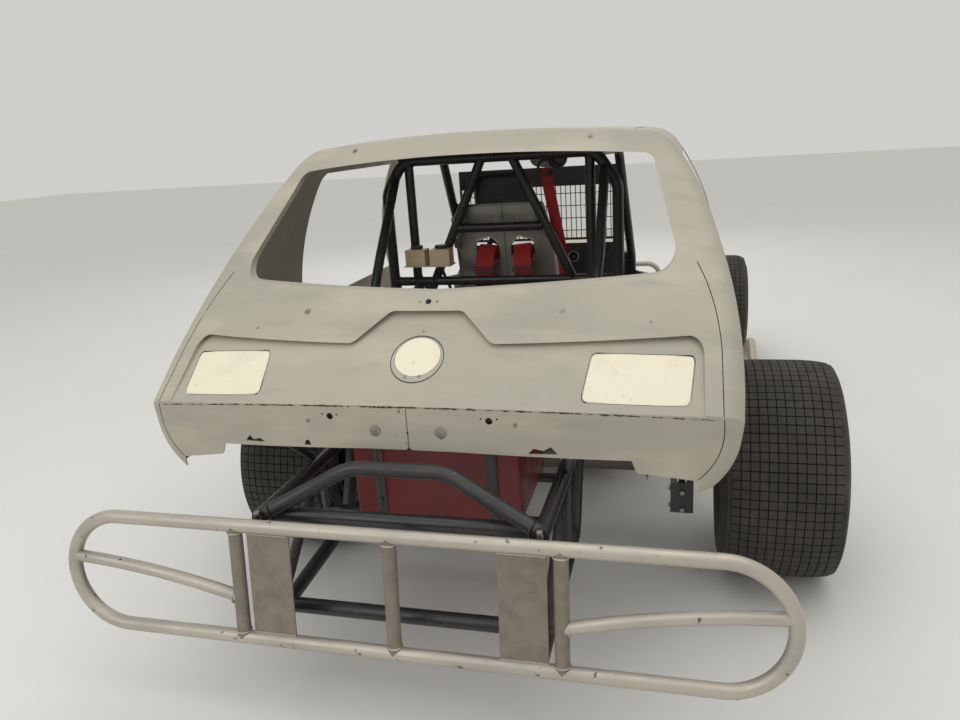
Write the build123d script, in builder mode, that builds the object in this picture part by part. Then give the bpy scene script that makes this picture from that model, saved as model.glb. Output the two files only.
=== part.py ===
from build123d import *
import os
from math import atan2, cos, hypot, radians, sin

# Modified stock car: a tube frame with a hatchback shell in primer.
# Millimetres. X points to the car's left, Y to its tail and Z up. Sizes are
# given from the rear axle's place on the body's centre plane; each piece is
# moved at the end so that the origin is under the middle of the car.

# Wheels: name, side (1 left, -1 right), centre X, centre Y, radius, width and
# how far inboard of the centre the brake rotor starts
WHEELBASE = 2692
WHEELS = [
    ("rear_right", -1, -1040, 0, 372, 385, 299),
    ("rear_left", 1, 690, 0, 360, 360, 208),
    ("front_right", -1, -1020, -WHEELBASE, 336, 240, 48),
    ("front_left", 1, 720, -WHEELBASE, 330, 240, 48),
]
RIM_R = 190
RIM_WALL = 5
RIM_FLANGE = 12
BEAD_INSET = 26
DISC_T = 7
DISC_HOLE_R = 16
DISC_HOLES = 10
HUB_R = 55
HUB_FLANGE_R = 140
HUB_BORE_CLEAR = 0.05
SPINDLE_R = 26
ROTOR_R = 152
ROTOR_EYE_R = 84
ROTOR_T = 22

# Steering
KINGPIN_INBOARD = 150
KINGPIN_R = 12
KINGPIN_CLEAR = 0.05
BOSS_R = 26
BOSS_H = 76
EAR_T = 18
EAR_GAP = 1.5
ARM_LENGTH = 150
ARM_T = 16
TIE_R = 13
TIE_PIN_R = 7
STEER_WHEEL_R = 180
STEER_WHEEL_TUBE = 26
STEER_HUB = (0, -905, 985)
STEER_BOX = (0, -1545, 700)
STEER_SHAFT_R = 10

# Body shell
SHEET = 4
SEAM = 0
ROOF_Z = 1560
SHELL_FRONT = -1560
SEAM_Z = 853
SEAM_Y = 794
TAIL_SLOPE = 1.16
TAIL_TOP_Z = 1700
TAIL_FOOT_Z = 740
TAIL_BOW_FOOT = 0.00012
VALANCE_BOW = 0.000097
TAIL_BOW_TOP = 0.00041
TAIL_CORNER_R = 68
SHELL_BOTTOM = 612
BELT_Z = 868
ROOF_JOINT_Z = 1440
ROOF_FRONT_Y = -1150
SIDE_REAR_Y = -370
DOOR_BOTTOM = 300
COWL_Y = -1500
ARCH_R = 452
ARCH_CENTRE_Z = 366
WINDOW_SILL_Z = 1108
TAIL_PANEL_TOP = 1150
WINDOW_FOLD = 26
BAND_TOP_Z = 985
BAND_HALF = 782
BAND_TURN = 3.2
BAND_CORNER_R = 42
HUMP_HALF = 125
HUMP_TOP_Z = 1062
BLANK_GAP = 1.5
BLANK_LAP = 9
FILLER_R = 67

# Round tubes, outside diameters
BUMPER_OD = 38
FRAME_OD = 44
RAIL_OD = 50
CAGE_OD = 44
CAGE_CROSS_OD = 38
BRACE_OD = 32

# Rear bumper
BUMPER_TOP = (998, 574)
BUMPER_LOW = (1033, 248)
BUMPER_REACH = 984
POST_X = 445
PLATE_IN, PLATE_OUT = 285, 410
PLATE_T = 5

# Front bumper
FRONT_BUMPER_Y = -3330
FRONT_BUMPER_REACH = 560
FRONT_BUMPER_TOP = 520
FRONT_BUMPER_LOW = 330

# Frame
RAIL_X = 460
RAIL_W, RAIL_H, RAIL_Z = 50, 100, 270
FRONT_RAIL_X = 330
FRONT_RAIL_Z = 430
CAGE_X = 478
CAGE_Y = -450
CAGE_TOP = 1460

SEAT_HALF = 205
SEAT_BACK_TOP = (-500, 1270)
SEAT_BACK_LOW = (-640, 520)
SEAT_FRONT_Y = -1010
SEAT_SHEET = 4
FLOOR_Z = 228
FLOOR_T = 4
TUNNEL_W, TUNNEL_Z = 280, 490
FIREWALL_Y = -1600
DASH_Y = -1260
SCREEN_Y = -1305
SCREEN_HALF = 405
SCREEN_LOW, SCREEN_TOP = 1000, 1285
WIRE = 4
WIRE_PITCH = 25
WIRE_ROW = 62
VISOR_H = 84
PAD_GAP = 0.3
PAD_OD = 84
DASH_HALF = 420
BELT_W, BELT_T = 76, 3
BELT_X = 62
CELL_W, CELL_L, CELL_H = 530, 400, 320
CELL_REAR_Y, CELL_Z = 600, 417

# Running gear
AXLE_TUBE_R = 38
DIFF_R = 150
FRONT_AXLE_R = 30
ENGINE_Y = -2080
ENGINE_Z = 400
HEADER_X = 340
HEADER_Z = 500
HEADER_OD = 56
STUB_OD = 40

HOME = Location((
    -(BUMPER_REACH + BUMPER_OD / 2 + WHEELS[0][2] - WHEELS[0][5] / 2) / 2,
    -(BUMPER_LOW[0] + FRONT_BUMPER_Y) / 2,
    0,
))

os.makedirs("parts", exist_ok=True)


def save(piece, name):
    """Write a finished piece, moved to the car's own origin."""
    piece.part.label = name
    placed = piece.part.moved(HOME)
    placed.label = name
    export_step(placed, f"parts/{name}.step")


def tube(points, od, bend=None):
    """Round bar through points, with bends of one radius."""
    with BuildPart() as bar:
        with BuildLine() as path:
            if bend:
                FilletPolyline(*points, radius=bend)
            else:
                Polyline(*points)
        with BuildSketch(path.line ^ 0):
            Circle(od / 2)
        sweep()
    return bar.part


def both(points):
    """The same points on the car's left and on its right."""
    return [points, [(-x, y, z) for x, y, z in points]]


# Half of the shell's cross section, X and Z: joints of tangent arcs that start
# level at the roof's middle and run down to the curl under the sill
SECTION = [(586, 1530), (700, 1462), (868, 1071), (876, 731), (804, 605)]


def section_joints(inset, curled):
    """Each joint of the section, moved into the shell, with the line's heading there."""
    place, heading = Vector(0, ROOF_Z), Vector(1, 0)
    joints = [(place, heading)]
    for joint in SECTION if curled else SECTION[:-1]:
        along = (Vector(*joint) - place).normalized()
        place, heading = Vector(*joint), along * (2 * heading.dot(along)) - heading
        joints.append((place, heading))
    return [(place + Vector(heading.Y, -heading.X) * inset, heading) for place, heading in joints]


# Plan outline at one height, bowed towards the tail
def rear_outline(z, bow, rear_y):
    with BuildSketch(Plane.XY.offset(z)) as outline:
        with BuildLine():
            arc = ThreePointArc((-1000, rear_y - bow * 1e6), (0, rear_y), (1000, rear_y - bow * 1e6))
            Polyline(arc @ 1, (1000, -2000), (-1000, -2000), arc @ 0)
        make_face()
    return outline.sketch


# The shell's outer form, moved inward by an inset
def shell_form(inset, curled=True):
    over = 20 if inset else 0
    with BuildPart() as length:
        with BuildSketch(Plane.XZ.offset(-1000)):
            with BuildLine():
                joints = section_joints(inset, curled)
                for (start, heading), (end, _) in zip(joints, joints[1:]):
                    arc = TangentArc(start, end, tangent=heading)
                foot = (731 - inset, 540) if curled else (864 - inset, 200)
                Polyline(arc @ 1, foot, (0, foot[1]))
                mirror(about=Plane.YZ)
            make_face()
        extrude(amount=1000 - SHELL_FRONT + over)
    with BuildPart() as slope:
        for z, bow in ((TAIL_FOOT_Z, TAIL_BOW_FOOT), (TAIL_TOP_Z, TAIL_BOW_TOP)):
            add(rear_outline(z, bow, SEAM_Y - TAIL_SLOPE * (z - SEAM_Z) - inset * hypot(1, TAIL_SLOPE)))
        loft(ruled=True)
        extrude(slope.faces().sort_by(Axis.Z)[0], amount=TAIL_FOOT_Z - 100)
    with BuildPart() as upright:
        add(rear_outline(100, VALANCE_BOW, SEAM_Y - inset))
        extrude(amount=TAIL_TOP_Z - 100)
    form = length.part & (slope.part & upright.part)
    corners = [
        edge for edge in form.edges()
        if abs((edge @ 0.5).X) > 600 and (edge @ 0.5).Y > -500
        and edge.bounding_box().size.Z > 40 and edge.bounding_box().size.Y < 1100
    ]
    return fillet(corners, radius=TAIL_CORNER_R - inset)


shell_outer = shell_form(0)
shell_inner = shell_form(SHEET)
shell_lap = shell_form(2 * SHEET)
# Sunk band across the tail with a hump over the filler: deepest at its upper
# line, and flush at the seam because the sheet is turned about the seam
def band_zone(grow):
    top = BAND_TOP_Z + grow
    with BuildPart() as zone:
        with BuildSketch(Plane.XZ.offset(-900)):
            with BuildLine():
                FilletPolyline(
                    (-BAND_HALF - grow, SEAM_Z - 90), (-BAND_HALF - grow, top), (-HUMP_HALF - 85 - grow, top),
                    (-HUMP_HALF + 15 - grow, HUMP_TOP_Z + grow), (HUMP_HALF - 15 + grow, HUMP_TOP_Z + grow),
                    (HUMP_HALF + 85 + grow, top), (BAND_HALF + grow, top), (BAND_HALF + grow, SEAM_Z - 90),
                    radius=BAND_CORNER_R,
                )
                Line((BAND_HALF + grow, SEAM_Z - 90), (-BAND_HALF - grow, SEAM_Z - 90))
            make_face()
        extrude(amount=500)
    return zone.part


def with_band(form, grow):
    """A shell form with the band sunk into its tail."""
    turned = form.rotate(Axis((0, SEAM_Y, SEAM_Z), (1, 0, 0)), BAND_TURN)
    return form - (band_zone(grow) - turned)


with BuildPart() as under_shell:
    with Locations((0, -400, SHELL_BOTTOM - 50)):
        Box(2200, 2600, 100)
banded_outer, banded_inner, banded_lap = [
    with_band(form, grow) for form, grow in ((shell_outer, 0), (shell_inner, SHEET), (shell_lap, 2 * SHEET))
]
skin = banded_outer - banded_inner - under_shell.part
lining = banded_inner - banded_lap - under_shell.part

# Openings cut through the shell
def window_zone(grow):
    with BuildPart() as zone:
        with BuildSketch(Plane.XZ.offset(-900)) as opening:
            with BuildLine():
                Polyline((0, WINDOW_SILL_Z), (722, 1128), (628, 1446), (604, 1456))
                ThreePointArc((604, 1456), (320, 1478), (0, 1486))
                mirror(about=Plane.YZ)
            make_face()
            fillet(opening.vertices().filter_by_position(Axis.X, 650, 800), radius=60)
            fillet(opening.vertices().filter_by_position(Axis.X, -800, -650), radius=60)
            fillet(opening.vertices().filter_by_position(Axis.X, 615, 640), radius=40)
            fillet(opening.vertices().filter_by_position(Axis.X, -640, -615), radius=40)
            if grow:
                offset(amount=grow)
        extrude(amount=1150)
    return zone.part



with BuildPart() as side_windows:
    with BuildSketch(Plane.YZ.offset(-1100)) as opening:
        with BuildLine():
            Polyline(
                (SIDE_REAR_Y, BELT_Z), (SIDE_REAR_Y, 1432), (ROOF_FRONT_Y, 1432),
                (COWL_Y + 70, BELT_Z), (SIDE_REAR_Y, BELT_Z),
            )
        make_face()
        fillet(opening.vertices().group_by(Axis.Y)[-1].sort_by(Axis.Z)[-1:], radius=45)
        fillet(opening.vertices().filter_by_position(Axis.Y, ROOF_FRONT_Y - 1, ROOF_FRONT_Y + 1), radius=45)
    extrude(amount=2200)

with BuildPart() as windshield:
    with BuildSketch(Plane.YZ.offset(-1100)):
        with BuildLine():
            Polyline(
                (ROOF_FRONT_Y - 40, ROOF_Z + 60), (ROOF_FRONT_Y - 64, 1500), (COWL_Y, BELT_Z - 1),
                (-1800, BELT_Z - 1), (-1800, ROOF_Z + 60), (ROOF_FRONT_Y - 40, ROOF_Z + 60),
            )
        make_face()
    extrude(amount=2200)

with BuildPart() as arches:
    with BuildSketch(Plane.YZ.offset(-1100)):
        with Locations((0, ARCH_CENTRE_Z)):
            Circle(ARCH_R)
        with Locations((0, ARCH_CENTRE_Z / 2)):
            Rectangle(2 * ARCH_R, ARCH_CENTRE_Z)
    extrude(amount=2200)

# Regions that split the shell where the real panels meet
with BuildPart() as roof_zone:
    with BuildSketch(Plane.YZ.offset(-1100)):
        with BuildLine():
            Polyline(
                (SIDE_REAR_Y, ROOF_JOINT_Z), (400, ROOF_JOINT_Z), (400, ROOF_Z + 50),
                (-1900, ROOF_Z + 50), (-1900, BELT_Z), (SIDE_REAR_Y, BELT_Z),
                (SIDE_REAR_Y, ROOF_JOINT_Z),
            )
        make_face()
    extrude(amount=2200)

# Tail lid outline seen from behind: its edge runs down the quarter seam
def lid_zone(grow):
    with BuildPart() as zone:
        with BuildSketch(Plane.XZ.offset(-900)):
            with BuildLine():
                edge = ThreePointArc((764 + grow, TAIL_PANEL_TOP), (808 + grow, 1060), (826 + grow, 950))
                side = Line(edge @ 1, (829 + grow, SEAM_Z - 37 - grow))
                ThreePointArc(side @ 1, (420, SEAM_Z - 12.2 - grow), (0, SEAM_Z - 4 - grow))
                Polyline((0, TAIL_PANEL_TOP + 6 + grow), (740, TAIL_PANEL_TOP + 6 + grow), edge @ 0)
                mirror(about=Plane.YZ)
            make_face()
        extrude(amount=900)
    return zone.part


def valance_zone(grow):
    with BuildPart() as zone:
        with BuildSketch(Plane.XZ.offset(-900)) as outline:
            with BuildLine():
                top = ThreePointArc((829 + grow, SEAM_Z - 37), (420, SEAM_Z - 12.2), (0, SEAM_Z - 4))
                notch = FilletPolyline(top @ 1, (0, 726), (594, 722), (612, 672), (764 + grow, 648), radius=14)
                ThreePointArc(notch @ 1, (818 + grow, 722), top @ 0)
                mirror(about=Plane.YZ)
            make_face()
        extrude(amount=320)
    return zone.part


# Folded edge round the rear window, turned into the shell
shell_deep = shell_form(WINDOW_FOLD)
window_fold = ((window_zone(SHEET) - window_zone(0)) & shell_outer) - shell_deep


rear_body = (skin - window_zone(0)) + window_fold


def lamp_zone(grow):
    """Four-sided lamp openings, left and right, seen from behind."""
    with BuildPart() as zone:
        with BuildSketch(Plane.XZ.offset(-900)) as outline:
            with BuildLine():
                Polyline((760, 938), (486, 956), (468, 861), (745, 845), (760, 938))
            make_face()
            mirror(about=Plane.YZ)
            fillet(outline.vertices(), radius=16)
            if grow:
                offset(amount=grow)
        extrude(amount=500)
    return zone.part


def filler_zone(grow):
    """Round filler opening, cut square to the tail."""
    tail_plane = Plane(origin=(0, 671, 966), x_dir=(-1, 0, 0), z_dir=(0, 1, TAIL_SLOPE))
    with BuildPart() as zone:
        with BuildSketch(tail_plane.offset(-60)):
            Circle(FILLER_R + grow)
        extrude(amount=120)
    return zone.part


with BuildPart() as tail_panel:
    add((rear_body & lid_zone(0)) - lamp_zone(BLANK_GAP) - filler_zone(BLANK_GAP))
save(tail_panel, "tail_panel")

with BuildPart() as lamp_covers:
    add(skin & lamp_zone(0))
    add(lining & lamp_zone(BLANK_LAP))
save(lamp_covers, "lamp_covers")

with BuildPart() as filler_cover:
    add(skin & filler_zone(0))
    add(lining & filler_zone(BLANK_LAP))
save(filler_cover, "filler_cover")

# Holes and rusted bites in the valance, seen from behind
VALANCE_HOLES = [
    # X, Z, radius
    (230, 816, 10), (-230, 816, 10), (208, 822, 3), (252, 822, 3), (-208, 822, 3), (-252, 822, 3),
]
VALANCE_BITES = [
    [(455, 724), (470, 735), (492, 729), (505, 742), (520, 724), (518, 700), (455, 700)],
    [(300, 725), (306, 741), (317, 738), (322, 725), (318, 700), (300, 700)],
    [(-330, 724), (-346, 740), (-372, 734), (-392, 745), (-410, 724), (-405, 700), (-330, 700)],
]
with BuildPart() as valance_cuts:
    with BuildSketch(Plane.XZ.offset(-900)):
        for x, z, radius in VALANCE_HOLES:
            with Locations((x, z)):
                Circle(radius)
        for bite in VALANCE_BITES:
            with BuildLine():
                Polyline(*bite, close=True)
            make_face()
    extrude(amount=320)
with BuildPart() as rear_valance:
    add((rear_body & valance_zone(0)) - valance_cuts.part)
save(rear_valance, "rear_valance")

quarter_shell = rear_body - side_windows.part - arches.part - lid_zone(SEAM) - valance_zone(SEAM)
with BuildPart() as below_tail:
    with BuildSketch(Plane.XZ.offset(-650)):
        with BuildLine():
            Polyline((0, 730), (764, 700), (764, 640), (772, 600), (0, 600))
            mirror(about=Plane.YZ)
        make_face()
    extrude(amount=-500)
with BuildPart() as quarter_zone:
    with Locations((0, 465, 1000)):
        Box(2200, 2 * (465 - SIDE_REAR_Y), 2 * (ROOF_JOINT_Z - SEAM - 1000))
quarters = (quarter_shell & quarter_zone.part) - below_tail.part
for name, side in (("quarter_left", 1), ("quarter_right", -1)):
    with BuildPart() as quarter:
        add([s for s in quarters.solids() if s.center().X * side > 0 and s.volume > 1000])
    save(quarter, name)

with BuildPart() as roof_panel:
    add((rear_body - side_windows.part - windshield.part) & roof_zone.part)
save(roof_panel, "roof_panel")

# Door sheets stand straight below the belt and follow the wheel arch
door_outer = shell_form(0, curled=False)
door_inner = shell_form(SHEET, curled=False)
with BuildPart() as door_zone:
    with BuildSketch(Plane.YZ.offset(-1100)):
        with BuildLine():
            Polyline(
                (SIDE_REAR_Y - SEAM, BELT_Z - SEAM), (SIDE_REAR_Y - SEAM, 560), (-420, DOOR_BOTTOM - 5),
                (-1480, DOOR_BOTTOM - 5), (SHELL_FRONT, 420), (SHELL_FRONT, 780),
                (COWL_Y - 20, BELT_Z - SEAM), (SIDE_REAR_Y - SEAM, BELT_Z - SEAM),
            )
        make_face()
    extrude(amount=2200)
door_skins = ((door_outer - door_inner) & door_zone.part) - arches.part
with BuildPart() as door_left:
    add([sheet for sheet in door_skins.solids() if sheet.center().X > 0 and sheet.volume > 1000])
save(door_left, "door_left")
with BuildPart() as door_right:
    add([sheet for sheet in door_skins.solids() if sheet.center().X < 0 and sheet.volume > 1000])
save(door_right, "door_right")

# Rear bumper: a long loop of tube on a plane that leans back at its foot
lean = atan2(BUMPER_LOW[0] - BUMPER_TOP[0], BUMPER_TOP[1] - BUMPER_LOW[1])
loop_h = hypot(BUMPER_LOW[0] - BUMPER_TOP[0], BUMPER_TOP[1] - BUMPER_LOW[1])
bumper_plane = Plane(
    origin=(0, (BUMPER_TOP[0] + BUMPER_LOW[0]) / 2, (BUMPER_TOP[1] + BUMPER_LOW[1]) / 2),
    x_dir=(1, 0, 0), z_dir=(0, -cos(lean), -sin(lean)),
)
with BuildPart() as rear_bumper:
    end_x = BUMPER_REACH - loop_h / 2
    with BuildLine(bumper_plane) as loop:
        top = Line((-end_x, loop_h / 2), (end_x, loop_h / 2))
        right = ThreePointArc(top @ 1, (BUMPER_REACH, 0), (end_x, -loop_h / 2))
        low = Line(right @ 1, (-end_x, -loop_h / 2))
        ThreePointArc(low @ 1, (-BUMPER_REACH, 0), top @ 0)
    with BuildSketch(loop.line ^ 0):
        Circle(BUMPER_OD / 2)
    sweep()
    for side in (-1, 1):
        with BuildLine(bumper_plane) as bar:
            ThreePointArc((side * (POST_X + 6), -44), (side * 720, 10), (side * (BUMPER_REACH - 2), 36))
        with BuildSketch(bar.line ^ 0):
            Circle(BUMPER_OD / 2 - 2)
        sweep()
save(rear_bumper, "rear_bumper")

# Posts and flat push plates welded between the bumper's tubes
with BuildPart() as bumper_posts:
    for x in (-POST_X, 0, POST_X):
        with BuildLine(bumper_plane) as post:
            Line((x, -loop_h / 2), (x, loop_h / 2))
        with BuildSketch(post.line ^ 0):
            Circle(BUMPER_OD / 2)
        sweep()
    with BuildSketch(bumper_plane.offset(-PLATE_T / 2)):
        for side in (-1, 1):
            with Locations((side * (PLATE_IN + PLATE_OUT) / 2, 0)):
                Rectangle(PLATE_OUT - PLATE_IN, loop_h)
    extrude(amount=PLATE_T)
    add(rear_bumper.part, mode=Mode.SUBTRACT)
save(bumper_posts, "bumper_posts")

# Front bumper: two bars, rounded ends and two posts on the front rails
with BuildPart() as front_bumper:
    for z in (FRONT_BUMPER_TOP, FRONT_BUMPER_LOW):
        add(tube([(-FRONT_BUMPER_REACH + 95, FRONT_BUMPER_Y, z), (FRONT_BUMPER_REACH - 95, FRONT_BUMPER_Y, z)],
                 BUMPER_OD))
    for side in (-1, 1):
        mid = (FRONT_BUMPER_TOP + FRONT_BUMPER_LOW) / 2
        half = (FRONT_BUMPER_TOP - FRONT_BUMPER_LOW) / 2
        x = side * (FRONT_BUMPER_REACH - 95)
        with BuildLine() as bend:
            ThreePointArc(
                (x, FRONT_BUMPER_Y, mid + half), (x + side * half, FRONT_BUMPER_Y, mid),
                (x, FRONT_BUMPER_Y, mid - half),
            )
        with BuildSketch(bend.line ^ 0):
            Circle(BUMPER_OD / 2)
        sweep()
        post_x = side * FRONT_RAIL_X
        add(tube([(post_x, FRONT_BUMPER_Y, FRONT_BUMPER_LOW), (post_x, FRONT_BUMPER_Y, FRONT_BUMPER_TOP)],
                 BUMPER_OD))

# Main frame: box rails amidships, round tube at both ends
FRAME_TUBES = [
    # outside diameter, bend radius, points on the left side, mirrored to the right
    (FRAME_OD, 90, [(RAIL_X, -430, 290), (RAIL_X, -300, 450), (402, -90, 570), (389, 962, 581)]),
    (FRAME_OD, 80, [(398, 300, 573), (394, 430, 290), (385, 1029.4, 262)]),
    (BRACE_OD, None, [(396, 560, 575), (390, 560, 285)]),
    (BRACE_OD, None, [(396, 590, 570), (388, 930, 275)]),
    (RAIL_OD, 110, [(RAIL_X, -1670, 282), (FRONT_RAIL_X, -1960, 300), (FRONT_RAIL_X, -2270, FRONT_RAIL_Z),
                    (FRONT_RAIL_X, FRONT_BUMPER_Y + 2, FRONT_RAIL_Z)]),
    (BRACE_OD, 90, [(398, -1515, 850), (300, -2900, 650), (FRONT_RAIL_X, -3060, FRONT_RAIL_Z)]),
    (BRACE_OD, None, [(FRONT_RAIL_X, -WHEELBASE, 690), (FRONT_RAIL_X, -WHEELBASE, FRONT_RAIL_Z)]),
]
CROSS_TUBES = [
    # outside diameter, half length, Y, Z
    (FRAME_OD, 391, 900, 563),
    (FRAME_OD, 388, 900, 270),
    (BRACE_OD, 398, 560, 401),
    (FRAME_OD, RAIL_X, -460, 250),
    (FRAME_OD, RAIL_X, -1060, 250),
    (FRAME_OD, RAIL_X, -1660, 250),
    (RAIL_OD, FRONT_RAIL_X, -2440, FRONT_RAIL_Z),
    (RAIL_OD, FRONT_RAIL_X, -3060, FRONT_RAIL_Z),
    (BRACE_OD, FRONT_RAIL_X, -WHEELBASE, 676),
    (BRACE_OD, FRONT_RAIL_X, -2960, 402),
]
with BuildPart() as main_frame:
    rail_l = -400 + 1700
    with Locations(*[(side * RAIL_X, -1700 + rail_l / 2, RAIL_Z) for side in (-1, 1)]):
        Box(RAIL_W, rail_l, RAIL_H)
    for od, bend, points in FRAME_TUBES:
        for run in both(points):
            add(tube(run, od, bend))
    for od, half, y, z in CROSS_TUBES:
        add(tube([(-half, y, z), (half, y, z)], od))
    add(tube([(386, 942, 583), (160, 850, 690), (-120, 850, 690), (-386, 942, 583)], FRAME_OD - 2, 130))
    with Locations((389, 970, 578), (-389, 970, 578)):
        Box(10, 40, 34)
    for x in (-390, 390):
        add(tube([(x, 250, 575), (x, 250, 401)], BRACE_OD))
    add(tube([(-390, 250, 401), (390, 250, 401)], BRACE_OD))
    for bumper in (rear_bumper, bumper_posts, front_bumper):
        add(bumper.part, mode=Mode.SUBTRACT)
save(main_frame, "main_frame")
save(front_bumper, "front_bumper")

# Roll cage standing on the rails
CAGE_TUBES = [
    # outside diameter, bend radius, points on the left side, mirrored to the right
    (CAGE_OD, 90, [(395, CAGE_Y, CAGE_TOP), (430, -1120, 1448), (462, -1530, 880), (465, -1580, 300)]),
    (CAGE_CROSS_OD, None, [(372, CAGE_Y, 700), (372, CAGE_Y, CAGE_TOP)]),
    (CAGE_CROSS_OD, None, [(60, CAGE_Y, CAGE_TOP), (470, CAGE_Y, 590)]),
    (CAGE_CROSS_OD, 90, [(CAGE_X, CAGE_Y, 780), (640, -650, 780), (640, -1310, 780), (463, -1548, 780)]),
    (CAGE_CROSS_OD, 90, [(CAGE_X, CAGE_Y, 520), (640, -650, 520), (640, -1310, 520), (464, -1560, 520)]),
    (BRACE_OD, None, [(640, -980, 520), (640, -980, 780)]),
    (CAGE_CROSS_OD, 90, [(430, CAGE_Y + 4, 1402), (430, -180, 1100), (396, 330, 578)]),
]
CAGE_CROSS = [
    # half length, Y, Z
    (372, CAGE_Y, 700), (CAGE_X, CAGE_Y, 960), (175, CAGE_Y, 1180), (430, -1120, 1448), (462, -1530, 880),
    (412, 80, 834),
]
ROOF_DIAGONAL = [(-255, CAGE_Y, 1440), (-40, -1120, 1425)]
with BuildPart() as roll_cage:
    add(tube([(CAGE_X, CAGE_Y, 300), (CAGE_X, CAGE_Y, 1330), (395, CAGE_Y, CAGE_TOP),
              (-395, CAGE_Y, CAGE_TOP), (-CAGE_X, CAGE_Y, 1330), (-CAGE_X, CAGE_Y, 300)], CAGE_OD, 90))
    for od, bend, points in CAGE_TUBES:
        for run in both(points):
            add(tube(run, od, bend))
    for half, y, z in CAGE_CROSS:
        add(tube([(-half, y, z), (half, y, z)], CAGE_CROSS_OD))
    add(tube(ROOF_DIAGONAL, CAGE_CROSS_OD))
    add(main_frame.part, mode=Mode.SUBTRACT)
save(roll_cage, "roll_cage")

# Floor with a driveline tunnel, and the firewall in front of it
floor_rear, floor_front = -480, FIREWALL_Y
with BuildPart() as floor_pan:
    length = floor_rear - floor_front
    middle = (floor_rear + floor_front) / 2
    with Locations((0, middle, FLOOR_Z - FLOOR_T / 2)):
        Box(2 * RAIL_X, length, FLOOR_T)
        Box(TUNNEL_W, length, FLOOR_T, mode=Mode.SUBTRACT)
    with BuildSketch(Plane.XZ.offset(-floor_rear)):
        with BuildLine():
            wall = TUNNEL_Z - TUNNEL_W / 2
            left = Line((TUNNEL_W / 2, FLOOR_Z - FLOOR_T), (TUNNEL_W / 2, wall))
            over = ThreePointArc(left @ 1, (0, TUNNEL_Z), (-TUNNEL_W / 2, wall))
            low = FLOOR_Z - FLOOR_T
            Polyline(over @ 1, (-TUNNEL_W / 2, low), (-TUNNEL_W / 2 + FLOOR_T, low),
                     (-TUNNEL_W / 2 + FLOOR_T, wall))
            inner = ThreePointArc((-TUNNEL_W / 2 + FLOOR_T, wall), (0, TUNNEL_Z - FLOOR_T),
                                  (TUNNEL_W / 2 - FLOOR_T, wall))
            Polyline(inner @ 1, (TUNNEL_W / 2 - FLOOR_T, low), left @ 0)
        make_face()
    extrude(amount=length)
    add(main_frame.part, mode=Mode.SUBTRACT)
save(floor_pan, "floor_pan")

# Seat: folded aluminium sheet, a back with two belt slots, sides and a pan
top_y, top_z = SEAT_BACK_TOP
low_y, low_z = SEAT_BACK_LOW
back_lean = atan2(top_y - low_y, top_z - low_z)
back_plane = Plane(origin=(0, low_y, low_z), x_dir=(-1, 0, 0), z_dir=(0, cos(back_lean), -sin(back_lean)))
back_length = hypot(top_y - low_y, top_z - low_z)
with BuildPart() as driver_seat:
    with BuildSketch(back_plane):
        with BuildLine():
            Polyline((-SEAT_HALF, 0), (SEAT_HALF, 0), (SEAT_HALF, 620), (SEAT_HALF - 35, back_length),
                     (35 - SEAT_HALF, back_length), (-SEAT_HALF, 620), (-SEAT_HALF, 0))
        make_face()
        for side in (-1, 1):
            with BuildLine():
                Polyline((side * 22, 515), (side * 22, 585), (side * 60, 627), (side * 125, 605),
                         (side * 130, 515), (side * 22, 515))
            make_face(mode=Mode.SUBTRACT)
    extrude(amount=SEAT_SHEET)
    for side in (-1, 1):
        with BuildSketch(Plane.YZ.offset(side * SEAT_HALF - SEAT_SHEET / 2)):
            with BuildLine():
                Polyline((low_y + 2, low_z), (top_y + 2, top_z - 150), (top_y - 150, top_z - 170),
                         (low_y - 170, low_z + 330), (SEAT_FRONT_Y + 60, low_z + 190),
                         (SEAT_FRONT_Y, low_z + 60), (SEAT_FRONT_Y, low_z), (low_y + 2, low_z))
            make_face()
        extrude(amount=SEAT_SHEET)
    with BuildSketch(Plane.XY.offset(low_z)):
        with Locations((0, (SEAT_FRONT_Y + low_y + 2) / 2)):
            Rectangle(2 * SEAT_HALF + SEAT_SHEET, low_y + 2 - SEAT_FRONT_Y)
    extrude(amount=SEAT_SHEET)
    for y in (low_y - 30, SEAT_FRONT_Y + 60):
        for side in (-1, 1):
            with BuildSketch(Plane.XY.offset(FLOOR_Z)):
                with Locations((side * (TUNNEL_W / 2 + 22), y)):
                    Rectangle(24, 40)
            extrude(amount=low_z - FLOOR_Z + 1)
save(driver_seat, "driver_seat")

# Head pad on the seat's back, and a thick sleeve of padding on the roof diagonal
with BuildPart() as head_pads:
    with BuildSketch(back_plane.offset(-60 - PAD_GAP)) as pad:
        with Locations((0, back_length + 30)):
            Rectangle(230, 170)
        fillet(pad.vertices(), radius=25)
    extrude(amount=60)
    rear_end, front_end = Vector(*ROOF_DIAGONAL[0]), Vector(*ROOF_DIAGONAL[1])
    add(tube([rear_end + (front_end - rear_end) * 0.07, rear_end + (front_end - rear_end) * 0.9], PAD_OD))
    add(roll_cage.part, mode=Mode.SUBTRACT)
save(head_pads, "head_pad")

# Shoulder belts: from the cross bar behind the seat, up and through the slots
with BuildPart() as shoulder_belts:
    for side in (-1, 1):
        with BuildSketch(Plane.YZ.offset(side * (BELT_X + 10) - BELT_W / 2)):
            with BuildLine() as belt:
                strap_y = CAGE_Y - CAGE_CROSS_OD / 2 - BELT_T / 2
                Polyline((strap_y, 860), (strap_y, 1040), (-524, 1098), (-556, 1092), (-576, 1010), (-612, 740))
            trace(belt.line, line_width=BELT_T)
        extrude(amount=BELT_W)
save(shoulder_belts, "shoulder_belts")

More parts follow.
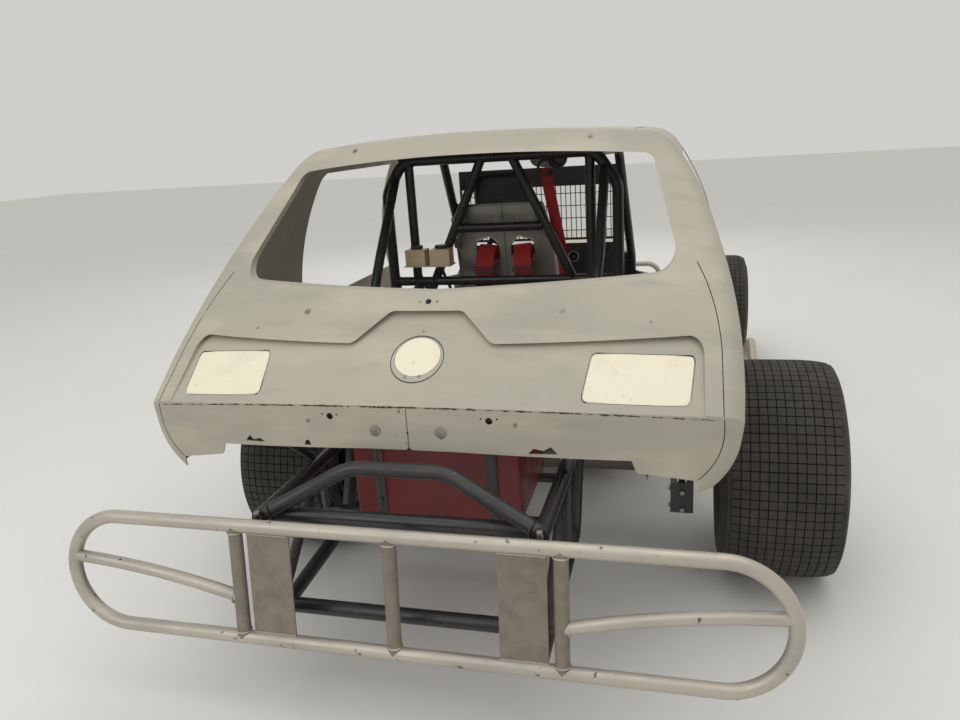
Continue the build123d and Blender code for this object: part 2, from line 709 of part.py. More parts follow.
# Firewall with a tunnel gap and a hole for the steering shaft
with BuildPart() as firewall:
    with BuildSketch(Plane.XZ.offset(-FIREWALL_Y)):
        with Locations((0, (FLOOR_Z + 880) / 2)):
            Rectangle(890, 880 - FLOOR_Z)
        with Locations((0, (FLOOR_Z + TUNNEL_Z + 60) / 2)):
            Rectangle(TUNNEL_W + 120, TUNNEL_Z + 60 - FLOOR_Z, mode=Mode.SUBTRACT)
    extrude(amount=3)
    add(main_frame.part, mode=Mode.SUBTRACT)
    add(roll_cage.part, mode=Mode.SUBTRACT)
save(firewall, "firewall")

# Dash: a folded panel hung on the cage's front cross tube
with BuildPart() as dash_panel:
    with BuildSketch(Plane.XZ.offset(-DASH_Y)) as face:
        with Locations((0, 905)):
            Rectangle(2 * DASH_HALF, 170)
        fillet(face.vertices(), radius=30)
    extrude(amount=3)
    with Locations((0, (DASH_Y - 1530) / 2, 900.5)):
        Box(2 * DASH_HALF - 80, DASH_Y + 1530, 3)
    with BuildSketch(Plane.XZ.offset(-DASH_Y)):
        for x, r in ((-190, 26), (-120, 26), (-30, 45), (80, 26), (150, 26)):
            with Locations((x, 925)):
                Circle(r)
    extrude(amount=-22)
    add(roll_cage.part, mode=Mode.SUBTRACT)
    with BuildSketch(Plane(origin=STEER_BOX, z_dir=Vector(*STEER_HUB) - Vector(*STEER_BOX))):
        Circle(STEER_SHAFT_R + 18)
    extrude(amount=500, mode=Mode.SUBTRACT)
save(dash_panel, "dash_panel")

# Rock screen of square wire in a frame between the cage's front legs
with BuildPart() as rock_screen:
    with BuildSketch(Plane.XZ.offset(-SCREEN_Y)):
        mid_z = (SCREEN_LOW + SCREEN_TOP) / 2
        with Locations((0, mid_z)):
            Rectangle(2 * SCREEN_HALF, SCREEN_TOP - SCREEN_LOW)
            Rectangle(2 * SCREEN_HALF - 24, SCREEN_TOP - SCREEN_LOW - 24, mode=Mode.SUBTRACT)
        columns = int((2 * SCREEN_HALF - 24) / WIRE_PITCH)
        rows = int((SCREEN_TOP - SCREEN_LOW - 24) / WIRE_ROW)
        with Locations((0, mid_z)):
            with GridLocations(WIRE_PITCH, 0, columns, 1):
                Rectangle(WIRE, SCREEN_TOP - SCREEN_LOW - 12)
            with GridLocations(0, WIRE_ROW, 1, rows):
                Rectangle(2 * SCREEN_HALF - 12, WIRE)
        with Locations((0, SCREEN_TOP + VISOR_H / 2 - 1)):
            Rectangle(2 * SCREEN_HALF, VISOR_H)
        tab_z = 1448 + (SCREEN_Y + 1120) / (1530 - 1120) * (1448 - 880)
        for side in (-1, 1):
            with Locations((side * (SCREEN_HALF + 20), tab_z)):
                Rectangle(60, 30)
    extrude(amount=WIRE)
    add(roll_cage.part, mode=Mode.SUBTRACT)
save(rock_screen, "rock_screen")

# Fuel cell: a closed box on the two low cross tubes
with BuildPart() as fuel_cell:
    with Locations((0, CELL_REAR_Y - CELL_L / 2, CELL_Z + CELL_H / 2)):
        Box(CELL_W, CELL_L, CELL_H)
    fillet(fuel_cell.edges(), radius=8)
save(fuel_cell, "fuel_cell")

# Two fluid reservoirs on a shelf behind the seat
with BuildPart() as reservoirs:
    for x in (345, 240):
        with Locations((x, -388, 1073)):
            Box(84, 68, 66)
        with Locations((x, -388, 1112)):
            Cylinder(22, 16)
    with Locations((296, -396, 1038)):
        Box(200, 84, 4)
    add(roll_cage.part, mode=Mode.SUBTRACT)
save(reservoirs, "reservoirs")

# Rear axle: tubes that drop slightly from right to left, and a round centre
right, left = WHEELS[0], WHEELS[1]
axle_z = (right[4] + left[4]) / 2
with BuildPart() as rear_axle:
    ends = [(w[2] - w[1] * (w[6] + ROTOR_T + 8), 0, w[4]) for w in (right, left)]
    add(tube(ends, 2 * AXLE_TUBE_R))
    with Locations(Location((0, 0, axle_z), (90, 0, 0))):
        Cylinder(DIFF_R, 120)
        with Locations((0, 0, -70)):
            Cylinder(DIFF_R - 20, 30)
    with Locations(Location((0, -130, axle_z), (90, 0, 0))):
        Cylinder(60, 150)
    for w in (right, left):
        inner_x = w[2] - w[1] * (w[6] + ROTOR_T + 12)
        outer_x = w[2] + w[1] * (w[5] / 2 - 60)
        with BuildSketch(Plane.YZ.offset(inner_x)):
            with Locations((0, w[4])):
                Circle(SPINDLE_R)
        extrude(amount=outer_x - inner_x)
save(rear_axle, "rear_axle")

# Front axle: a straight tube with an upright boss at each end
front_right, front_left = WHEELS[2], WHEELS[3]
pins = {w[0]: (w[2] - w[1] * KINGPIN_INBOARD, w[3], w[4]) for w in (front_right, front_left)}
with BuildPart() as front_axle:
    add(tube([pins["front_right"], pins["front_left"]], 2 * FRONT_AXLE_R))
    for x, y, z in pins.values():
        with Locations((x, y, z)):
            Cylinder(BOSS_R + 8, BOSS_H)
            Cylinder(KINGPIN_R + KINGPIN_CLEAR, BOSS_H + 1, mode=Mode.SUBTRACT)
save(front_axle, "front_axle")

# Knuckles: ears above and below the boss, the kingpin, the spindle and an arm
for w in (front_right, front_left):
    name = "knuckle_right" if w[1] < 0 else "knuckle_left"
    x, y, z = pins[w[0]]
    ear_z = BOSS_H / 2 + EAR_GAP + EAR_T / 2
    with BuildPart() as knuckle:
        with Locations((x, y, z)):
            Cylinder(KINGPIN_R, BOSS_H + 2 * EAR_T + 2 * EAR_GAP + 6)
        for up in (-1, 1):
            with BuildSketch(Plane.XY.offset(z + up * ear_z - EAR_T / 2)):
                with Locations((x, y)):
                    Circle(BOSS_R)
                with Locations((x + w[1] * 28, y)):
                    Rectangle(56, 2 * BOSS_R - 4)
            extrude(amount=EAR_T)
        with Locations((x + w[1] * 50, y, z)):
            Box(16, 2 * BOSS_R - 4, BOSS_H + 2 * EAR_T + 2 * EAR_GAP)
        spindle_end = w[2] + w[1] * (w[5] / 2 - 53)
        with BuildSketch(Plane.YZ.offset(x + w[1] * 56)):
            with Locations((y, z)):
                Circle(SPINDLE_R)
        extrude(amount=spindle_end - x - w[1] * 56)
        with BuildSketch(Plane.XY.offset(z - ear_z - ARM_T / 2)):
            with Locations((x, y + ARM_LENGTH / 2)):
                Rectangle(30, ARM_LENGTH)
            with Locations((x, y + ARM_LENGTH)):
                Circle(20)
                Circle(TIE_PIN_R + KINGPIN_CLEAR, mode=Mode.SUBTRACT)
        extrude(amount=ARM_T)
    save(knuckle, name)

# Tie rod: a bar below the two arms, with a pin up through each arm
with BuildPart() as tie_rod:
    arm_z = [pins[w[0]][2] - BOSS_H / 2 - EAR_GAP - EAR_T / 2 - ARM_T / 2 for w in (front_right, front_left)]
    rod_z = min(arm_z) - TIE_R - 4
    xs = [pins[w[0]][0] for w in (front_right, front_left)]
    rod_y = -WHEELBASE + ARM_LENGTH
    add(tube([(xs[0], rod_y, rod_z), (xs[1], rod_y, rod_z)], 2 * TIE_R))
    for x, z in zip(xs, arm_z):
        with BuildSketch(Plane.XY.offset(rod_z)):
            with Locations((x, rod_y)):
                Circle(TIE_PIN_R)
        extrude(amount=z + ARM_T + 10 - rod_z)
        with Locations((x, rod_y, z + ARM_T + 7)):
            Cylinder(TIE_PIN_R + 5, 10)
save(tie_rod, "tie_rod")

# Wheels: a tyre, and a rim with its disc, hub and brake rotor
for name, side, xc, yc, radius, width, rotor_in in WHEELS:
    half = width / 2
    bead = half - BEAD_INSET
    axis = Axis((xc, yc, radius), (1, 0, 0))
    wheel_plane = Plane(origin=(xc, yc, radius), x_dir=(1, 0, 0), z_dir=(0, -1, 0))
    with BuildPart() as tyre:
        with BuildSketch(wheel_plane):
            with BuildLine():
                foot = Line((bead, RIM_R), (bead, RIM_R + RIM_FLANGE + 3))
                wall = ThreePointArc(foot @ 1, (half, RIM_R + 0.5 * (radius - RIM_R)),
                                     (half - 12, radius - 42))
                shoulder = ThreePointArc(wall @ 1, (half - 22, radius - 20), (half - 46, radius - 9))
                crown = ThreePointArc(shoulder @ 1, (half * 0.4, radius - 1.5), (0, radius))
                mirror(about=Plane.YZ)
                Line((bead, RIM_R), (-bead, RIM_R))
            make_face()
        revolve(axis=axis)
    save(tyre, f"tyre_{name}")
    disc = side * (half - 70)
    rotor = -side * rotor_in
    with BuildPart() as wheel:
        with BuildSketch(wheel_plane):
            with Locations((0, RIM_R - RIM_WALL / 2)):
                Rectangle(2 * bead, RIM_WALL)
            for end in (-1, 1):
                with Locations((end * (bead + RIM_WALL / 2), RIM_R + RIM_FLANGE / 2 - RIM_WALL / 2)):
                    Rectangle(RIM_WALL, RIM_FLANGE + RIM_WALL)
            with Locations((disc, (RIM_R + HUB_R) / 2 - RIM_WALL / 2)):
                Rectangle(DISC_T, RIM_R - HUB_R - RIM_WALL + 2)
            with Locations((disc - side * 12, (HUB_FLANGE_R + HUB_R) / 2)):
                Rectangle(18, HUB_FLANGE_R - HUB_R)
            bore = SPINDLE_R + HUB_BORE_CLEAR
            hub_ends = sorted((disc + side * 20, rotor - side * ROTOR_T))
            with Locations(((hub_ends[0] + hub_ends[1]) / 2, (HUB_R + bore) / 2)):
                Rectangle(hub_ends[1] - hub_ends[0], HUB_R - bore)
            with Locations((rotor - side * ROTOR_T / 2, (ROTOR_R + ROTOR_EYE_R) / 2)):
                Rectangle(ROTOR_T, ROTOR_R - ROTOR_EYE_R)
            with Locations((rotor - side * ROTOR_T / 2, (ROTOR_EYE_R + HUB_R) / 2)):
                Rectangle(8, ROTOR_EYE_R - HUB_R + 2)
        revolve(axis=axis)
        cap_plane = Plane(origin=(xc + disc + side * 20, yc, radius), x_dir=(0, 1, 0), z_dir=(side, 0, 0))
        with BuildSketch(cap_plane):
            Circle(HUB_R)
        extrude(amount=6)
        with BuildSketch(cap_plane.offset(-60)):
            with PolarLocations((RIM_R + HUB_FLANGE_R) / 2 - 2, DISC_HOLES):
                Circle(DISC_HOLE_R)
        extrude(amount=60, mode=Mode.SUBTRACT)
    save(wheel, f"wheel_{name}")

# Side bars: a bent silver tube in front of each rear wheel, on the rails
NERF_TUBES = [
    # points from the rail outward under the door, back along it and in again
    [(-RAIL_X - 10, -1350, 268), (-960, -1350, 268), (-1010, -1260, 330), (-1010, -700, 630),
     (-1010, -560, 560), (-950, -560, 268), (-RAIL_X - 10, -560, 268)],
    [(RAIL_X + 10, -1350, 268), (930, -1350, 268), (960, -1260, 330), (960, -700, 470),
     (960, -560, 420), (930, -560, 268), (RAIL_X + 10, -560, 268)],
]
with BuildPart() as side_bars:
    for points in NERF_TUBES:
        add(tube(points, BUMPER_OD, 40))
    add(main_frame.part, mode=Mode.SUBTRACT)
save(side_bars, "side_bars")

# Engine: a V-eight block with its heads, covers, sump and front drive
with BuildPart() as engine_block:
    with BuildSketch(Plane.XZ.offset(-ENGINE_Y + 300)) as block:
        with BuildLine():
            Polyline((110, 300), (130, 400), (230, 560), (120, 640), (0, 560))
            mirror(about=Plane.YZ)
            Line((110, 300), (-110, 300))
        make_face()
    extrude(amount=-540)
    with Locations((0, ENGINE_Y - 10, 262)):
        Box(190, 440, 76)
    with Locations((0, ENGINE_Y - 262, 470)):
        Box(616, 8, 180)
    add(main_frame.part, mode=Mode.SUBTRACT)
save(engine_block, "engine_block")

with BuildPart() as cylinder_heads:
    for side in (-1, 1):
        bank = Plane(
            origin=(side * 175, ENGINE_Y - 30, 600), x_dir=(0, 1, 0), z_dir=(side * sin(radians(45)), 0, cos(radians(45)))
        )
        with BuildSketch(bank):
            Rectangle(500, 150)
        extrude(amount=70)
        with BuildSketch(bank.offset(70)) as cover:
            Rectangle(480, 120)
            fillet(cover.vertices(), radius=20)
        extrude(amount=65)
    add(engine_block.part, mode=Mode.SUBTRACT)
save(cylinder_heads, "cylinder_heads")

with BuildPart() as intake:
    with Locations((0, ENGINE_Y - 30, 640)):
        Box(150, 420, 110)
    with Locations((0, ENGINE_Y - 30, 720)):
        Box(110, 110, 60)
    with Locations((0, ENGINE_Y - 30, 790)):
        Cylinder(180, 85)
    add(engine_block.part, mode=Mode.SUBTRACT)
    add(cylinder_heads.part, mode=Mode.SUBTRACT)
save(intake, "intake")

# Gearbox, driveshaft and radiator
with BuildPart() as gearbox:
    with BuildSketch(Plane.XZ.offset(-ENGINE_Y - 240)):
        with Locations((0, ENGINE_Z)):
            Circle(180)
    with BuildSketch(Plane.XZ.offset(-ENGINE_Y - 420)):
        with Locations((0, ENGINE_Z)):
            Circle(95)
    loft(ruled=True)
    with Locations(Location((0, ENGINE_Y + 640, ENGINE_Z - 15), (90, 0, 0))):
        Cylinder(85, 460)
save(gearbox, "gearbox")

with BuildPart() as driveshaft:
    add(tube([(0, ENGINE_Y + 868, ENGINE_Z - 15), (0, -204, axle_z)], 76))
    add(gearbox.part, mode=Mode.SUBTRACT)
    add(rear_axle.part, mode=Mode.SUBTRACT)
save(driveshaft, "driveshaft")

with BuildPart() as radiator:
    with Locations((0, -2960, 418 + 190)):
        Box(560, 60, 380)
save(radiator, "radiator")

# Hood: a narrow folded sheet from the cowl to the radiator, and the nose
with BuildPart() as hood_panel:
    for inset, mode in ((0, Mode.ADD), (SHEET, Mode.SUBTRACT)):
        for y, half_x, top in ((FIREWALL_Y - 3 + inset, 445, 880), (-3030 - inset, 345, 830)):
            with BuildSketch(Plane.XZ.offset(-y)):
                with Locations((0, (top + 640) / 2 - inset)):
                    Rectangle(2 * (half_x - inset), top - 640)
        loft(ruled=True, mode=mode)
    with BuildSketch(Plane.XZ.offset(3030 - SHEET)):
        with Locations((0, 735)):
            Rectangle(688, 188)
            Rectangle(600, 136, mode=Mode.SUBTRACT)
            with GridLocations(150, 0, 3, 1):
                Rectangle(12, 140)
            with GridLocations(0, 38, 1, 3):
                Rectangle(604, 12)
    extrude(amount=SHEET)
save(hood_panel, "hood_panel")

# Exhaust: four stubs a side into a log that turns out behind the engine
with BuildPart() as exhaust_headers:
    for side in (-1, 1):
        for i in range(4):
            y = ENGINE_Y - 30 + (i - 1.5) * 118
            add(tube([(side * 244, y, 580), (side * HEADER_X, y, HEADER_Z)], STUB_OD))
        add(tube([(side * HEADER_X, ENGINE_Y - 250, HEADER_Z), (side * HEADER_X, ENGINE_Y + 180, HEADER_Z),
                  (side * (HEADER_X + 70), ENGINE_Y + 320, HEADER_Z), (side * (HEADER_X + 210), ENGINE_Y + 410, HEADER_Z)],
                 HEADER_OD, 60))
    add(cylinder_heads.part, mode=Mode.SUBTRACT)
    add(engine_block.part, mode=Mode.SUBTRACT)
save(exhaust_headers, "exhaust_headers")

# Steering column, box and wheel
hub = Vector(*STEER_HUB)
box = Vector(*STEER_BOX)
shaft_dir = (hub - box).normalized()
with BuildPart() as steering_column:
    start = hub - shaft_dir * 60
    with BuildSketch(Plane(origin=box, z_dir=shaft_dir)):
        Circle(STEER_SHAFT_R + 12)
    extrude(amount=(start - box).length)
    with Locations(box):
        Box(90, 110, 120)
save(steering_column, "steering_column")

with BuildPart() as steering_wheel:
    wheel_face = Plane(origin=hub, x_dir=(1, 0, 0), z_dir=shaft_dir)
    with BuildSketch(Plane(origin=hub, x_dir=(1, 0, 0), z_dir=wheel_face.y_dir)):
        with Locations((STEER_WHEEL_R, 0)):
            Circle(STEER_WHEEL_TUBE / 2)
    revolve(axis=Axis(hub, shaft_dir))
    with BuildSketch(wheel_face.offset(-3)):
        Circle(45)
        for angle in (90, 210, 330):
            with Locations(Location((0, 0, 0), (0, 0, angle))):
                with Locations((STEER_WHEEL_R / 2, 0)):
                    Rectangle(STEER_WHEEL_R, 30)
    extrude(amount=6)
    with BuildSketch(wheel_face.offset(-60 + PAD_GAP)):
        Circle(24)
    extrude(amount=60 - PAD_GAP)
save(steering_wheel, "steering_wheel")

# Suspension: coil springs over shocks, and rods that hold the axles
SHOCKS = [
    # lower eye, upper eye, left side; mirrored to the right
    ((330, 0, 400), (330, 76, 828)),
    ((470, -WHEELBASE, 355), (345, -WHEELBASE, 632)),
]
with BuildPart() as coilovers:
    for low_eye, high_eye in SHOCKS:
        for low, high in zip(both([low_eye])[0:2], both([high_eye])[0:2]):
            low_v, high_v = Vector(*low[0]), Vector(*high[0])
            along = (high_v - low_v).normalized()
            reach = (high_v - low_v).length
            with BuildSketch(Plane(origin=low_v, z_dir=along)):
                Circle(11)
            extrude(amount=reach)
            with BuildSketch(Plane(origin=low_v + along * 0.16 * reach, z_dir=along)):
                Circle(28)
            extrude(amount=0.56 * reach)
    add(rear_axle.part, mode=Mode.SUBTRACT)
    add(front_axle.part, mode=Mode.SUBTRACT)
    add(roll_cage.part, mode=Mode.SUBTRACT)
    add(main_frame.part, mode=Mode.SUBTRACT)
save(coilovers, "coilovers")

LINKS = [
    [(360, -20, 340), (446, -430, 288)],
    [(FRONT_RAIL_X, -WHEELBASE + 20, 340), (FRONT_RAIL_X, -2300, 415)],
]
with BuildPart() as suspension_links:
    for points in LINKS:
        for run in both(points):
            add(tube(run, 26))
    add(rear_axle.part, mode=Mode.SUBTRACT)
    add(front_axle.part, mode=Mode.SUBTRACT)
    add(main_frame.part, mode=Mode.SUBTRACT)
save(suspension_links, "suspension_links")

# Rear brake calipers behind the rotors, on brackets from the axle tube
with BuildPart() as brake_calipers:
    for w in (right, left):
        rotor_x = w[2] - w[1] * (w[6] + ROTOR_T / 2)
        with Locations((rotor_x, 140, w[4] - 60)):
            Box(76, 64, 110)
        with Locations((rotor_x - w[1] * 34, 70, w[4] - 50)):
            Box(8, 160, 90)
        with BuildSketch(Plane.YZ.offset(rotor_x - ROTOR_T / 2 - 5)):
            with Locations((0, w[4])):
                Circle(ROTOR_R + 6)
        extrude(amount=ROTOR_T + 10, mode=Mode.SUBTRACT)
    add(rear_axle.part, mode=Mode.SUBTRACT)
save(brake_calipers, "brake_calipers")

# Braces that hold the shell to the cage and to the tail frame
BODY_BRACES = [
    # cage or frame end, shell end, left side; mirrored to the right
    [(640, -800, 520), (869.2, -800, 520)],
    [(640, -1200, 520), (869.2, -1200, 520)],
    [(396, 575, 575), (432, 767.5, 745)],
    [(396, CAGE_Y, CAGE_TOP), (396, CAGE_Y, 1541)],
]
with BuildPart() as body_braces:
    for points in BODY_BRACES:
        for run in both(points):
            add(tube(run, 19))
    for solid in (roll_cage, main_frame, door_left, door_right, rear_valance, roof_panel):
        add(solid.part, mode=Mode.SUBTRACT)
save(body_braces, "body_braces")
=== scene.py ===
import math
import random

import bmesh
import bpy
from bpy.props import FloatVectorProperty, PointerProperty
from mathutils import Matrix, Vector


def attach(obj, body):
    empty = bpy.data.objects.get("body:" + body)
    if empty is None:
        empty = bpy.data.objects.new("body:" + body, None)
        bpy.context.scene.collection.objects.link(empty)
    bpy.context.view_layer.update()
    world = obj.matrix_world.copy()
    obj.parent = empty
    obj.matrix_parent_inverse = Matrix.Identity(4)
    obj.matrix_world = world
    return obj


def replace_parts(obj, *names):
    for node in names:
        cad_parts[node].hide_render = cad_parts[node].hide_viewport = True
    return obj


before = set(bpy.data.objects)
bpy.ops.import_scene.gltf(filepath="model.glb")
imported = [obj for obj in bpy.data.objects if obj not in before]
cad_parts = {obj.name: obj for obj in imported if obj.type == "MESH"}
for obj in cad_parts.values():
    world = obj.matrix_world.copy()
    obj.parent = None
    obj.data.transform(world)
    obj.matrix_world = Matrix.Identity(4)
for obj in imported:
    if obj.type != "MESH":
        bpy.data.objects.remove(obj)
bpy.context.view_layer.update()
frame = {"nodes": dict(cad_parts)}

bl_info = {
    "name": "Modified stock car",
    "version": (1, 0, 0),
    "blender": (4, 5, 0),
    "location": "View3D > Sidebar > Stock car",
    "description": "Finishes and small parts for a tube-frame stock car in grey primer",
    "category": "Object",
}

HOME = Vector((0.11475, 1.1485, 0.0))     # the rear axle's foot in the row frame
MM = 0.001
LEFT, BACK, UP = Vector((1, 0, 0)), Vector((0, 1, 0)), Vector((0, 0, 1))


def at(x, y, z):
    """A point in the row frame from millimetres behind, left of and above the rear axle's foot."""
    return Vector((x, y, z)) * MM + HOME


# ---------------------------------------------------------------- materials
class Finish:
    """One node material, built step by step from patterns on Object coordinates."""

    def __init__(self, name, colour, rough, metal=0.0):
        self.mat = bpy.data.materials.new(name)
        self.mat.use_nodes = True
        self.tree = self.mat.node_tree
        self.shader = self.tree.nodes["Principled BSDF"]
        self.shader.inputs["Base Color"].default_value = (*colour, 1)
        self.shader.inputs["Roughness"].default_value = rough
        self.shader.inputs["Metallic"].default_value = metal
        self.coord = self.tree.nodes.new("ShaderNodeTexCoord").outputs["Object"]
        self.colour = None
        self.height = None
        self.mat.diffuse_color = (*colour, 1)

    def node(self, kind, **values):
        made = self.tree.nodes.new(kind)
        for name, value in values.items():
            setattr(made, name, value)
        return made

    def noise(self, scale, low, high, detail=4.0, stretch=(1, 1, 1)):
        """A 0 to 1 mask of cloudy noise, clipped between low and high."""
        mapping = self.node("ShaderNodeMapping")
        mapping.inputs["Scale"].default_value = stretch
        self.tree.links.new(self.coord, mapping.inputs["Vector"])
        made = self.node("ShaderNodeTexNoise")
        made.inputs["Scale"].default_value = scale
        made.inputs["Detail"].default_value = detail
        made.inputs["Roughness"].default_value = 0.55
        self.tree.links.new(mapping.outputs["Vector"], made.inputs["Vector"])
        ramp = self.node("ShaderNodeMapRange", clamp=True)
        ramp.inputs["From Min"].default_value = low
        ramp.inputs["From Max"].default_value = high
        self.tree.links.new(made.outputs["Fac"], ramp.inputs["Value"])
        return ramp.outputs["Result"]

    def mix(self, mask, colour, amount=1.0):
        """Lays a colour over what is there, where the mask says."""
        made = self.node("ShaderNodeMix", data_type="RGBA")
        if amount != 1.0:
            scaled = self.node("ShaderNodeMath", operation="MULTIPLY")
            self.tree.links.new(mask, scaled.inputs[0])
            scaled.inputs[1].default_value = amount
            mask = scaled.outputs[0]
        self.tree.links.new(mask, made.inputs["Factor"])
        if self.colour is None:
            made.inputs["A"].default_value = self.shader.inputs["Base Color"].default_value
        else:
            self.tree.links.new(self.colour, made.inputs["A"])
        made.inputs["B"].default_value = (*colour, 1)
        self.colour = made.outputs["Result"]
        self.tree.links.new(self.colour, self.shader.inputs["Base Color"])
        return self

    def vary(self, socket, mask, low, high):
        """Lets a shader value run from low to high with the mask."""
        made = self.node("ShaderNodeMapRange")
        made.inputs["To Min"].default_value = low
        made.inputs["To Max"].default_value = high
        self.tree.links.new(mask, made.inputs["Value"])
        self.tree.links.new(made.outputs["Result"], self.shader.inputs[socket])
        return self

    def bump(self, mask, strength, depth):
        made = self.node("ShaderNodeBump")
        made.inputs["Strength"].default_value = strength
        made.inputs["Distance"].default_value = depth
        self.tree.links.new(mask, made.inputs["Height"])
        if self.height is not None:
            self.tree.links.new(self.height, made.inputs["Normal"])
        self.height = made.outputs["Normal"]
        self.tree.links.new(self.height, self.shader.inputs["Normal"])
        return self


def primer_finish(look):
    """Flat grey primer, sanded in patches, with filler shades and dusty streaks."""
    f = Finish("primer", look.primer, 0.62)
    f.mix(f.noise(1.7, 0.42, 0.66, stretch=(1, 1, 1.6)), (0.36, 0.345, 0.285), 0.55)
    f.mix(f.noise(5.5, 0.5, 0.72, stretch=(0.5, 1, 1.6)), (0.56, 0.52, 0.41), 0.5)
    f.mix(f.noise(14, 0.55, 0.75, detail=6, stretch=(0.25, 1, 1)), (0.27, 0.26, 0.22), 0.35)
    f.mix(f.noise(220, 0.6, 0.8, detail=2), (0.25, 0.25, 0.24), 0.25)
    f.vary("Roughness", f.noise(6, 0.35, 0.7), 0.5, 0.72)
    f.bump(f.noise(260, 0.3, 0.7, detail=3), 0.12, 0.0006)
    f.bump(f.noise(7, 0.3, 0.7, detail=2, stretch=(0.6, 1, 1)), 0.25, 0.004)
    return f.mat


def cover_finish(look):
    """Cream white cover sheet with stains and fine scratches."""
    f = Finish("cover_cream", look.covers, 0.5)
    f.mix(f.noise(9, 0.5, 0.75), (0.62, 0.56, 0.44), 0.35)
    f.mix(f.noise(60, 0.64, 0.72, stretch=(1, 1, 0.2)), (0.4, 0.37, 0.32), 0.4)
    f.vary("Roughness", f.noise(12, 0.3, 0.7), 0.4, 0.6)
    f.bump(f.noise(90, 0.3, 0.7), 0.1, 0.0005)
    return f.mat


def silver_finish(look):
    """Dull aluminium paint, specked and scraped through to dark steel."""
    f = Finish("bumper_silver", look.bumper, 0.42, metal=0.55)
    f.mix(f.noise(3.2, 0.4, 0.7, stretch=(1, 1, 2)), (0.3, 0.29, 0.27), 0.5)
    f.mix(f.noise(38, 0.66, 0.7, detail=6), (0.05, 0.045, 0.04), 0.8)
    f.mix(f.noise(11, 0.68, 0.71, detail=8, stretch=(0.35, 1, 1)), (0.09, 0.08, 0.07), 0.8)
    f.vary("Roughness", f.noise(18, 0.3, 0.7), 0.34, 0.55)
    f.bump(f.noise(120, 0.3, 0.7), 0.15, 0.0006)
    return f.mat


def frame_finish(look):
    """Gloss black chassis paint, dusty and chipped to grey."""
    f = Finish("frame_black", look.frame, 0.3)
    f.mix(f.noise(4, 0.45, 0.75), (0.045, 0.042, 0.038), 0.7)
    f.mix(f.noise(45, 0.7, 0.74, detail=6), (0.17, 0.155, 0.14), 0.7)
    f.vary("Roughness", f.noise(9, 0.35, 0.7), 0.24, 0.5)
    f.bump(f.noise(80, 0.3, 0.7), 0.12, 0.0005)
    return f.mat


def plain_finish(name, colour, rough, second, metal=0.0, scale=8.0, grain=90.0):
    """A used finish of one colour, clouded with a second one and grained."""
    f = Finish(name, colour, rough, metal)
    f.mix(f.noise(scale, 0.4, 0.72), second, 0.5)
    f.vary("Roughness", f.noise(scale * 1.7, 0.3, 0.7), max(rough - 0.1, 0.08), min(rough + 0.12, 0.95))
    f.bump(f.noise(grain, 0.3, 0.7), 0.15, 0.0005)
    return f.mat


def rubber_finish(look):
    """Brown black tyre rubber with dust in it and scuffs across it."""
    f = Finish("tyre_rubber", look.rubber, 0.78)
    f.mix(f.noise(6, 0.42, 0.7), (0.07, 0.06, 0.048), 0.6)
    f.mix(f.noise(40, 0.6, 0.72, detail=6), (0.11, 0.095, 0.075), 0.4)
    f.vary("Roughness", f.noise(10, 0.3, 0.7), 0.68, 0.9)
    f.bump(f.noise(160, 0.3, 0.7, detail=5), 0.3, 0.0008)
    return f.mat


def brushed_finish(look):
    """Bare aluminium sheet with rolling lines and stains."""
    f = Finish("bare_aluminium", look.alloy, 0.36, metal=0.85)
    f.mix(f.noise(6, 0.45, 0.72), (0.3, 0.29, 0.27), 0.5)
    f.vary("Roughness", f.noise(30, 0.3, 0.7, stretch=(1, 1, 0.05)), 0.28, 0.5)
    f.bump(f.noise(140, 0.3, 0.7, stretch=(1, 1, 0.03)), 0.12, 0.0003)
    return f.mat


def cell_finish(look):
    """Satin dark red paint on the fuel cell's can, dusty on top."""
    f = Finish("red_cell", look.cell, 0.4)
    f.mix(f.noise(5, 0.4, 0.75), (0.09, 0.016, 0.014), 0.7)
    f.mix(f.noise(60, 0.66, 0.72, detail=6), (0.3, 0.25, 0.2), 0.3)
    f.vary("Roughness", f.noise(14, 0.3, 0.7), 0.32, 0.55)
    f.bump(f.noise(120, 0.3, 0.7), 0.1, 0.0004)
    return f.mat


def webbing_finish(look):
    """Woven red belt with ribs along and across it."""
    f = Finish("red_belt", look.belt, 0.75)
    wave = f.node("ShaderNodeTexWave", wave_type="BANDS", bands_direction="X")
    wave.inputs["Scale"].default_value = 180
    f.tree.links.new(f.coord, wave.inputs["Vector"])
    f.mix(f.noise(12, 0.4, 0.7), (0.16, 0.012, 0.012), 0.5)
    f.bump(wave.outputs["Fac"], 0.4, 0.0006)
    return f.mat


def floor_finish(look):
    """Pale matt floor with faint clouds."""
    f = Finish("floor", (0.82, 0.81, 0.78), 0.8)
    f.mix(f.noise(1.3, 0.4, 0.7), (0.78, 0.77, 0.74), 0.4)
    return f.mat


MAKERS = {
    "primer_body": primer_finish, "cover_white": cover_finish, "bumper_silver": silver_finish,
    "frame_black": frame_finish, "red_cell": cell_finish, "red_belt": webbing_finish,
    "tyre_rubber": rubber_finish, "bare_aluminium": brushed_finish, "floor": floor_finish,
}
